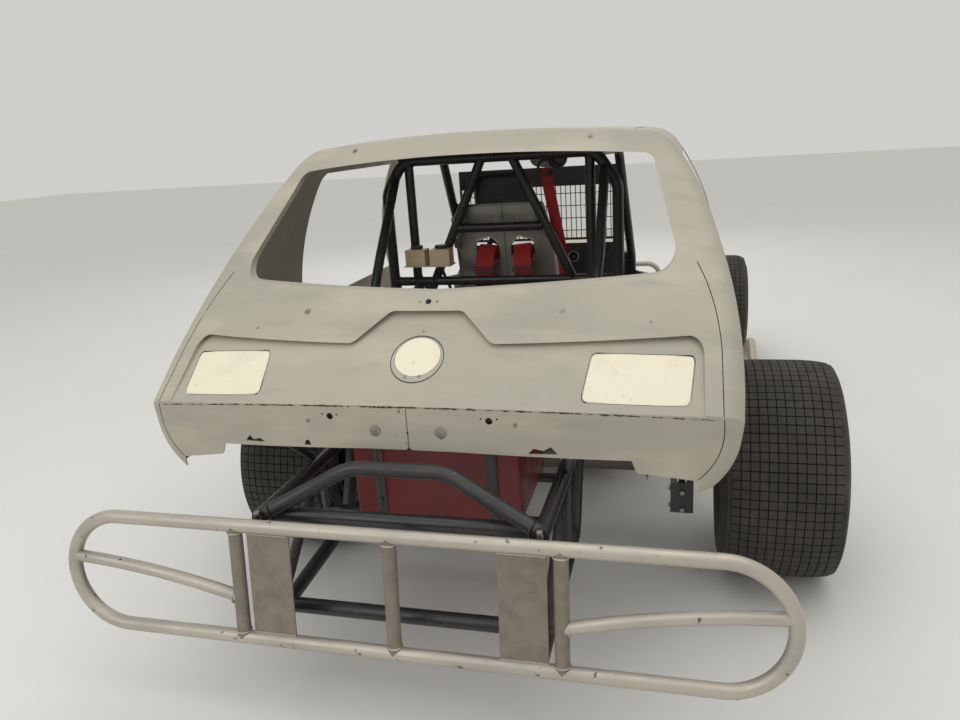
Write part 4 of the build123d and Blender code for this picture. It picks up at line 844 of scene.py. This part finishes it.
def dash_details():
    """Gauge faces with needles and marks, bezels, and a row of switches."""
    rings, faces = bmesh.new(), bmesh.new()
    for index, (x, radius) in enumerate(GAUGES):
        stand = facing(BACK, at(x, DASH_Y, GAUGE_Z))
        add_ring(rings, stand, radius * MM, 0.003, 32, 8)
        add_disc(faces, stand, (radius - 2) * MM, 0.0008, 32)
        for k in range(11):
            mark = stand @ polar(radius * 0.0008, math.radians(225 - 27 * k), 0.0008)
            add_disc(rings, facing(BACK, mark), 0.0012, 0.0008, 6)
        tip = polar(radius * 0.0007, math.radians(150 - 33 * index), 0.0016)
        sweep(rings, [stand @ Vector((0, 0, 0.0016)), stand @ tip], 0.0009, 6)
        add_disc(rings, stand, 0.004, 0.0028, 12)
    for k in range(4):
        stand = facing(BACK, at(215 + 34 * k, DASH_SHEET_Y, 905))
        add_disc(rings, stand, 0.008, 0.004, 12, 0.0006)
        sweep(rings, [stand @ Vector((0, 0, 0.003)), stand @ Vector((0, 0.004, 0.022))], 0.0028)
    for x in (-400, 400):
        for z in (838, 972):
            add_disc(rings, facing(BACK, at(x, DASH_SHEET_Y, z)), 0.005, 0.003, 12, 0.0008)
    piece("gauge_rings", rings, "bare_aluminium")
    piece("gauge_faces", faces, "dark_sheet", ["gap_black"])


def wheel_grip():
    """Stitched grip rings, spoke bolts and a padded boss on the steering wheel."""
    along = (WHEEL_HUB - COLUMN_FOOT).normalized()
    stand = facing(along, at(*WHEEL_HUB))
    mesh = bmesh.new()
    for a in angles(60):
        tangent = stand.to_3x3() @ polar(1, a + math.pi / 2)
        add_ring(mesh, facing(tangent, stand @ polar(GRIP_RING_R, a)), 0.0131, 0.0007, 14, 4)
    piece("wheel_stitching", mesh, "pad_black", body="steering_wheel")
    mesh = bmesh.new()
    lathe(mesh, stand, [(0.0001, 0.022), (0.030, 0.021), (0.040, 0.014), (0.042, 0.003)], 32)
    piece("wheel_boss", mesh, "pad_black", body="steering_wheel")
    mesh = bmesh.new()
    for a in angles(6, 0.5):
        add_disc(mesh, facing(along, stand @ polar(0.036, a, 0.003)), 0.004, 0.004, 6)
    for a in angles(3, 0.75):
        for reach, radius in ((0.075, 0.0075), (0.11, 0.0068), (0.145, 0.0061)):
            add_disc(mesh, facing(along, stand @ polar(reach, a, 0.0028)), radius, 0.001, 16)
    piece("wheel_bolts", mesh, "bare_aluminium", ["bolt_zinc"], "steering_wheel")


def reservoir_details():
    """Moulded bands, ribbed caps and hoses of the two reservoirs."""
    half, front, back, middle = RESERVOIR_BOX
    mesh, dark = bmesh.new(), bmesh.new()
    for x in RESERVOIRS:
        outline = rounded([(x - half, front), (x + half, front), (x + half, back), (x - half, back)], 8, 3)
        for z in (1046, 1084, 1101):
            sweep(mesh, [at(px, py, z) for px, py in outline], 0.002, 6, closed=True)
        add_disc(dark, facing(UP, at(x, middle, 1108)), 0.0245, 0.014, 28, 0.002)
        for a in angles(20):
            rib = at(x, middle, 1109) + polar(0.0245, a)
            sweep(dark, [rib, rib + UP * 0.011], 0.0012, 5)
        hose = [(0, middle, 1040), (0, middle, 1015), (4, -430, 980), (6, -520, 900), (4, -620, 760),
                (0, -640, 600)]
        sweep(dark, smooth([at(x + dx, y, z) for dx, y, z in hose]), 0.007, 10)
    piece("reservoir_bands", mesh, "cream_plastic")
    piece("reservoir_caps", dark, "dark_sheet")


# ---------------------------------------------------------------- running gear
NUT_R, BEAD_BOLT_R, CAP_BOLT_R, VALVE_R = 95, 194.5, 42, 168
# how far in from the tyre's outer wall, in mm
DISC_IN, BEAD_IN, CAP_IN, VALVE_IN = 66.5, 21, 44, 52
BEAD_RING = [(0.186, 0.0), (0.186, 0.005), (0.190, 0.007), (0.199, 0.007), (0.202, 0.004), (0.202, 0.0)]
HUB_CAP = [(0.034, -0.001), (0.034, 0.006), (0.030, 0.010), (0.0001, 0.011)]
# lower and upper ends of the left shocks, mirrored to the right
SHOCKS = [((330, 0, 400), (330, 76, 828)), ((470, -2692, 355), (345, -2692, 632))]
SPRING_SPAN = (0.20, 0.76)
SPRING_TURNS, SPRING_R, SPRING_WIRE, STEPS_A_TURN = 8, 0.036, 0.0055, 16
SPRING_SEAT = [(0.0285, 0.0), (0.045, 0.0), (0.0465, 0.003), (0.045, 0.008), (0.0285, 0.008)]
AXLE_Z = 366


def wheel_details():
    """Nuts, bead ring bolts, valve and cap screws for each wheel."""
    for _, body, centre, _, width, _, _ in TYRES:
        hub, half = at(*centre), width / 2
        outward = math.copysign(1, centre[0]) * LEFT
        mesh, dark = bmesh.new(), bmesh.new()

        def stand(radius, angle, out):
            spoke = Vector((0, math.cos(angle), math.sin(angle))) * radius
            return facing(outward, hub + (outward * out + spoke) * MM)

        for a in angles(5):
            nut = stand(NUT_R, a, half - DISC_IN)
            add_disc(mesh, nut, 0.016, 0.004, 24, 0.001)
            add_disc(mesh, raised(nut, 0.003), 0.0125, 0.018, 6, 0.0015)
            add_disc(mesh, raised(nut, 0.018), 0.007, 0.016, 12, 0.001)
        lathe(dark, stand(0, 0, half - BEAD_IN), BEAD_RING, 64)
        for a in angles(16, 0.5):
            bolt = stand(BEAD_BOLT_R, a, half - BEAD_IN + 6.5)
            add_disc(mesh, bolt, 0.0065, 0.002, 16)
            add_disc(mesh, raised(bolt, 0.0015), 0.0055, 0.005, 6, 0.0006)
        for a in angles(6):
            add_disc(mesh, stand(CAP_BOLT_R, a, half - CAP_IN), 0.004, 0.004, 6, 0.0005)
        lathe(mesh, stand(0, 0, half - CAP_IN), HUB_CAP, 32)
        valve = stand(VALVE_R, 0.3, half - VALVE_IN).translation
        sweep(dark, [valve, valve + outward * 0.02 - BACK * 0.003], 0.004)
        piece(body + "_nuts", mesh, "bare_aluminium", ["bolt_zinc"], body)
        piece(body + "_bead_ring", dark, "wheel_steel", body=body)


def springs():
    """Coil springs with their seats and end eyes round the four shocks."""
    wire, seats = bmesh.new(), bmesh.new()
    for low, high in SHOCKS:
        for side in (-1, 1):
            ends = [at(side * x, y, z) for x, y, z in (low, high)]
            foot, head = (ends[0].lerp(ends[1], share) for share in SPRING_SPAN)
            stand, length = facing(ends[1] - ends[0], foot), (head - foot).length
            count = SPRING_TURNS * STEPS_A_TURN
            helix = [stand @ polar(SPRING_R, math.tau * k / STEPS_A_TURN, length * k / count)
                     for k in range(count + 1)]
            sweep(wire, helix, SPRING_WIRE)
            for place in (0, length):
                lathe(seats, raised(stand, place - 0.004), SPRING_SEAT, 32)
            for end in ends:
                add_ring(seats, facing(BACK, end), 0.013, 0.006, 24, 8)
                add_disc(seats, facing(BACK, end - BACK * 0.016), 0.008, 0.032, 6, 0.001)
    piece("coil_springs", wire, "spring_metal")
    piece("spring_seats", seats, "bare_aluminium", ["bolt_zinc"])


def axle_details():
    """Cover bolts on the axle's centre, U bolts on its tubes, and caliper bolts."""
    mesh = bmesh.new()
    for a in angles(10):
        place, _ = touch(["rear_axle"], at(138 * math.cos(a), 900, AXLE_Z + 138 * math.sin(a)), -BACK)
        add_disc(mesh, facing(BACK, place - BACK * MM), 0.008, 0.008, 6, 0.0008)
    for side, x in ((1, 546), (-1, -731)):
        for z in (270, 335):
            add_disc(mesh, facing(BACK, at(x, 171, z)), 0.009, 0.012, 6, 0.001)
            add_disc(mesh, facing(-side * LEFT, at(x - side * 36, 140, z)), 0.009, 0.010, 6, 0.001)
    for x in (-300, 300):
        for y in (-40, 40):
            sweep(mesh, [at(x, y, 330), at(x, y, 402)], 0.006)
        half_turn = [math.pi * k / 12 for k in range(13)]
        bow = [at(x, 40 * math.cos(a), AXLE_Z + 40 * math.sin(a)) for a in half_turn]
        sweep(mesh, bow, 0.006)
    piece("axle_bolts", mesh, "cast_grey", ["bolt_zinc"])


# ---------------------------------------------------------------- engine
CLEANER_TOP = (0, -2110, 832)
CLEANER_LID = [(0.0001, 0.010), (0.02, 0.010), (0.13, 0.006), (0.174, 0.004), (0.184, -0.004),
               (0.184, -0.012), (0.180, -0.012)]
PLEATS = 120
BANK_LEAN = math.radians(45)
COVER_FOOT, COVER_HEIGHT = (175, -2110, 600), 0.135
FAN = (0, -2440, 520)
# X, Z and radius, mm
PULLEYS = [(0, 330, 80), (0, 520, 70), (170, 520, 38), (-150, 470, 45)]
BELT_RUN = [(80, 330), (70, 520), (38, 556), (-30, 590), (-70, 520), (-80, 330), (-56, 273), (0, 250),
            (56, 273), (80, 330)]
HOSES = [
    [(60, -2290, 690), (70, -2400, 735), (130, -2600, 760), (190, -2800, 770), (200, -2934, 765)],
    [(-150, -2384, 460), (-160, -2500, 440), (-190, -2700, 445), (-200, -2934, 450)],
]


def air_cleaner(metal, paper):
    """The lid with its wing nut, and the pleated paper under it."""
    top = at(*CLEANER_TOP)
    stand = facing(UP, top)
    lathe(metal, stand, CLEANER_LID, 64)
    add_disc(metal, raised(stand, 0.009), 0.012, 0.006, 16, 0.001)
    sweep(metal, [top + Vector((x, 0, z)) for x, z in ((-0.016, 0.022), (0, 0.013), (0.016, 0.022))], 0.003)
    for a in angles(PLEATS):
        sweep(paper, [top + polar(0.1815, a, z) for z in (-0.014, -0.078)], 0.0022, 5)


def bank_details(metal, dark, side):
    """Cover bolts, breather, plug leads and boots of one bank of cylinders."""
    normal = Vector((side * math.sin(BANK_LEAN), 0, math.cos(BANK_LEAN)))
    across = Vector((side * math.cos(BANK_LEAN), 0, -math.sin(BANK_LEAN)))
    foot_x, middle, foot_z = COVER_FOOT
    base = at(side * foot_x, middle, foot_z) + normal * COVER_HEIGHT
    for y in (-0.21, -0.07, 0.07, 0.21):
        for reach in (-0.045, 0.045):
            spot = base + BACK * y + across * reach - normal * MM
            add_disc(metal, facing(normal, spot), 0.007, 0.008, 6, 0.0008)
    add_disc(dark, facing(normal, base - BACK * 0.14), 0.020, 0.035, 24, 0.003)
    for k in range(4):
        y = middle - 180 + 120 * k
        plug = at(side * 296, y, 600)
        cap = at(side * 22, -1890 + 6 * k, 742 - 4 * k)
        lead = [cap, cap + Vector((side * 0.02, 0, 0.04)), at(side * 120, (y - 1890) / 2, 790 + 6 * k),
                at(side * 292, y, 700), plug]
        sweep(dark, smooth(lead), 0.004)
        add_disc(metal, facing((side * 0.8, 0, -0.6), plug), 0.009, 0.030, 12, 0.001)


# radius, turn and lift of each corner of a blade
BLADE = [(0.04, -0.2, 0.012), (0.17, -0.12, 0.012), (0.18, 0.10, 0), (0.04, 0.2, 0)]


def fan_blades(metal):
    """Six pitched blades on the water pump's nose."""
    for a in angles(6):
        low = []
        for radius, turn, lift in BLADE:
            low.append(at(*FAN) + Vector((math.cos(a + turn) * radius, lift, math.sin(a + turn) * radius)))
        slab(metal, low, [corner - BACK * 0.002 for corner in low])
    sweep(metal, [at(0, -2404, 520), at(0, -2448, 520)], 0.030, 20)


def engine_details():
    """Air filter, cover bolts, plug leads, belt pulleys, fan and hoses."""
    metal, dark, paper = bmesh.new(), bmesh.new(), bmesh.new()
    air_cleaner(metal, paper)
    for side in (-1, 1):
        bank_details(metal, dark, side)
    add_disc(dark, facing(UP, at(0, -1888, 640)), 0.050, 0.070, 28, 0.004)
    add_disc(dark, facing(UP, at(0, -1888, 709)), 0.042, 0.036, 28, 0.006, 0.8)
    for x, z, radius in PULLEYS:
        rim = radius * MM
        lathe(metal, facing(-BACK, at(x, -2384, z)), [
            (0.0001, 0.022), (rim * 0.5, 0.022), (rim * 0.75, 0.006), (rim, 0.0), (rim * 0.93, 0.010),
            (rim, 0.020), (rim * 0.75, 0.026)], 36)
    sweep(dark, smooth([at(x, -2394, z) for x, z in BELT_RUN], 2), 0.006)
    fan_blades(metal)
    for run in HOSES:
        sweep(dark, smooth([at(*place) for place in run]), 0.022, 16)
    piece("engine_bright", metal, "polished_alloy")
    piece("engine_rubber", dark, "pad_black")
    piece("air_filter", paper, "cream_plastic", ["cover_white"])


# ---------------------------------------------------------------- settings
class CarLook(bpy.types.PropertyGroup):
    """Colours that a user would change."""
    primer: FloatVectorProperty(
        name="Primer", description="Body primer", subtype="COLOR", default=(0.44, 0.415, 0.335))
    covers: FloatVectorProperty(
        name="Covers", description="Lamp and filler covers", subtype="COLOR", default=(0.86, 0.79, 0.62))
    bumper: FloatVectorProperty(
        name="Bumper", description="Bumper paint", subtype="COLOR", default=(0.52, 0.48, 0.41))
    frame: FloatVectorProperty(
        name="Frame", description="Chassis paint", subtype="COLOR", default=(0.02, 0.02, 0.021))
    rubber: FloatVectorProperty(
        name="Rubber", description="Tyre rubber", subtype="COLOR", default=(0.035, 0.031, 0.027))
    alloy: FloatVectorProperty(
        name="Aluminium", description="Bare sheet", subtype="COLOR", default=(0.5, 0.49, 0.46))
    cell: FloatVectorProperty(
        name="Fuel cell", description="Fuel cell paint", subtype="COLOR", default=(0.19, 0.022, 0.024))
    belt: FloatVectorProperty(
        name="Belts", description="Belt webbing", subtype="COLOR", default=(0.42, 0.02, 0.025))


class STOCKCAR_OT_finishes(bpy.types.Operator):
    """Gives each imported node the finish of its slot"""
    bl_idname = "stockcar.finishes"
    bl_label = "Finish the packed parts"

    def execute(self, context):
        for name, node in frame["nodes"].items():
            for place in node.material_slots:
                slot = place.material.name.split(".")[0]
                place.material = finish(NODE_FINISHES.get(name, slot))
        return {"FINISHED"}


class STOCKCAR_OT_tyres(bpy.types.Operator):
    """Makes the four treaded tyres"""
    bl_idname = "stockcar.tyres"
    bl_label = "Tyres"

    def execute(self, context):
        for row in TYRES:
            tyre(*row)
        return {"FINISHED"}


class STOCKCAR_OT_body(bpy.types.Operator):
    """Adds seams, screws and buttons on the shell"""
    bl_idname = "stockcar.body"
    bl_label = "Shell details"

    def execute(self, context):
        seams()
        fasteners()
        return {"FINISHED"}


class STOCKCAR_OT_chassis(bpy.types.Operator):
    """Adds weld beads, tabs, cell straps and the hanging chain"""
    bl_idname = "stockcar.chassis"
    bl_label = "Chassis details"

    def execute(self, context):
        welds()
        frame_hardware()
        return {"FINISHED"}


class STOCKCAR_OT_cockpit(bpy.types.Operator):
    """Makes the belts and pads, and details the seat, dash and steering wheel"""
    bl_idname = "stockcar.cockpit"
    bl_label = "Cockpit"

    def execute(self, context):
        seat_details()
        belts()
        head_cushion()
        bar_sleeve()
        dash_details()
        wheel_grip()
        reservoir_details()
        return {"FINISHED"}


class STOCKCAR_OT_running(bpy.types.Operator):
    """Adds nuts, bead rings, coil springs and axle bolts"""
    bl_idname = "stockcar.running"
    bl_label = "Running gear"

    def execute(self, context):
        wheel_details()
        springs()
        axle_details()
        return {"FINISHED"}


class STOCKCAR_OT_engine(bpy.types.Operator):
    """Adds the filter, leads, pulleys, fan and hoses of the engine"""
    bl_idname = "stockcar.engine"
    bl_label = "Engine details"

    def execute(self, context):
        engine_details()
        return {"FINISHED"}


# ---------------------------------------------------------------- stage
FLOOR_HALF = 30
SKY = (0.78, 0.775, 0.75, 1)
SKY_LEVEL = 0.8
# the camera's focal length in pixels, the photograph's width, and its turn in degrees
FOCAL_PX, PHOTO_WIDTH, SENSOR = 762.6, 960, 36
CAMERA_PLACE = (-718, 2618, 1543)
YAW, PITCH, ROLL = 15.31, 16.37, -3.77
# name, place, aim, size and power of each lamp
LAMPS = [
    ("lamp_over", (-0.5, 1.5, 5.0), (0, 0.3, 0.6), 5.0, 80),
    ("lamp_tail", (2.5, 5.5, 3.6), (0, 1.0, 0.6), 3.5, 45),
    ("lamp_nose", (1.5, -6.0, 4.2), (0, 0, 0.6), 4.0, 60),
]


def photo_view():
    """The camera's place and turn, solved from the photograph."""
    yaw, pitch, roll = (math.radians(a) for a in (YAW, PITCH, ROLL))
    ahead = Vector((math.sin(yaw) * math.cos(pitch), -math.cos(yaw) * math.cos(pitch), -math.sin(pitch)))
    right = ahead.cross(UP).normalized()
    up = right.cross(ahead)
    right, up = (math.cos(roll) * right + math.sin(roll) * up, -math.sin(roll) * right + math.cos(roll) * up)
    turn = Matrix((right, up, -ahead)).transposed().to_4x4()
    return Matrix.Translation(at(*CAMERA_PLACE)) @ turn


def hold(name, data, matrix=Matrix()):
    """An object for that data, in the scene."""
    holder = bpy.data.objects.new(name, data)
    holder.matrix_world = matrix
    bpy.context.scene.collection.objects.link(holder)
    return holder


class STOCKCAR_OT_stage(bpy.types.Operator):
    """Makes the floor, the light and the camera"""
    bl_idname = "stockcar.stage"
    bl_label = "Stage"

    def execute(self, context):
        scene = context.scene
        scene.view_settings.view_transform = "Standard"
        mesh = bmesh.new()
        bmesh.ops.create_grid(mesh, x_segments=1, y_segments=1, size=FLOOR_HALF)
        data = bpy.data.meshes.new("floor")
        mesh.to_mesh(data)
        mesh.free()
        data.materials.append(finish("floor"))
        hold("floor", data)
        world = bpy.data.worlds.new("studio")
        world.use_nodes = True
        back = world.node_tree.nodes["Background"]
        back.inputs["Color"].default_value = SKY
        back.inputs["Strength"].default_value = SKY_LEVEL
        scene.world = world
        for name, place, target, size, power in LAMPS:
            lamp = bpy.data.lights.new(name, "AREA")
            lamp.size = size
            lamp.energy = power
            aim = (Vector(target) - Vector(place)).to_track_quat("-Z", "Y").to_matrix().to_4x4()
            hold(name, lamp, Matrix.Translation(place) @ aim)
        camera = bpy.data.cameras.new("camera")
        camera.sensor_width = SENSOR
        camera.sensor_fit = "HORIZONTAL"
        camera.lens = FOCAL_PX / PHOTO_WIDTH * SENSOR
        scene.camera = hold("camera", camera, photo_view())
        return {"FINISHED"}


class STOCKCAR_PT_panel(bpy.types.Panel):
    """Lists the steps that dress the car"""
    bl_idname = "STOCKCAR_PT_panel"
    bl_label = "Stock car"
    bl_space_type = "VIEW_3D"
    bl_region_type = "UI"
    bl_category = "Stock car"

    def draw(self, context):
        for entry in STEPS:
            self.layout.operator(entry.bl_idname)


STEPS = [
    STOCKCAR_OT_stage, STOCKCAR_OT_finishes, STOCKCAR_OT_tyres, STOCKCAR_OT_body, STOCKCAR_OT_chassis,
    STOCKCAR_OT_cockpit, STOCKCAR_OT_running, STOCKCAR_OT_engine,
]
CLASSES = [CarLook, *STEPS, STOCKCAR_PT_panel]


def register():
    for entry in CLASSES:
        bpy.utils.register_class(entry)
    bpy.types.Scene.car_look = PointerProperty(type=CarLook)


def unregister():
    del bpy.types.Scene.car_look
    for entry in reversed(CLASSES):
        bpy.utils.unregister_class(entry)


def main():
    register()
    for entry in STEPS:
        group, name = entry.bl_idname.split(".")
        getattr(getattr(bpy.ops, group), name)()


if __name__ == "__main__":
    main()
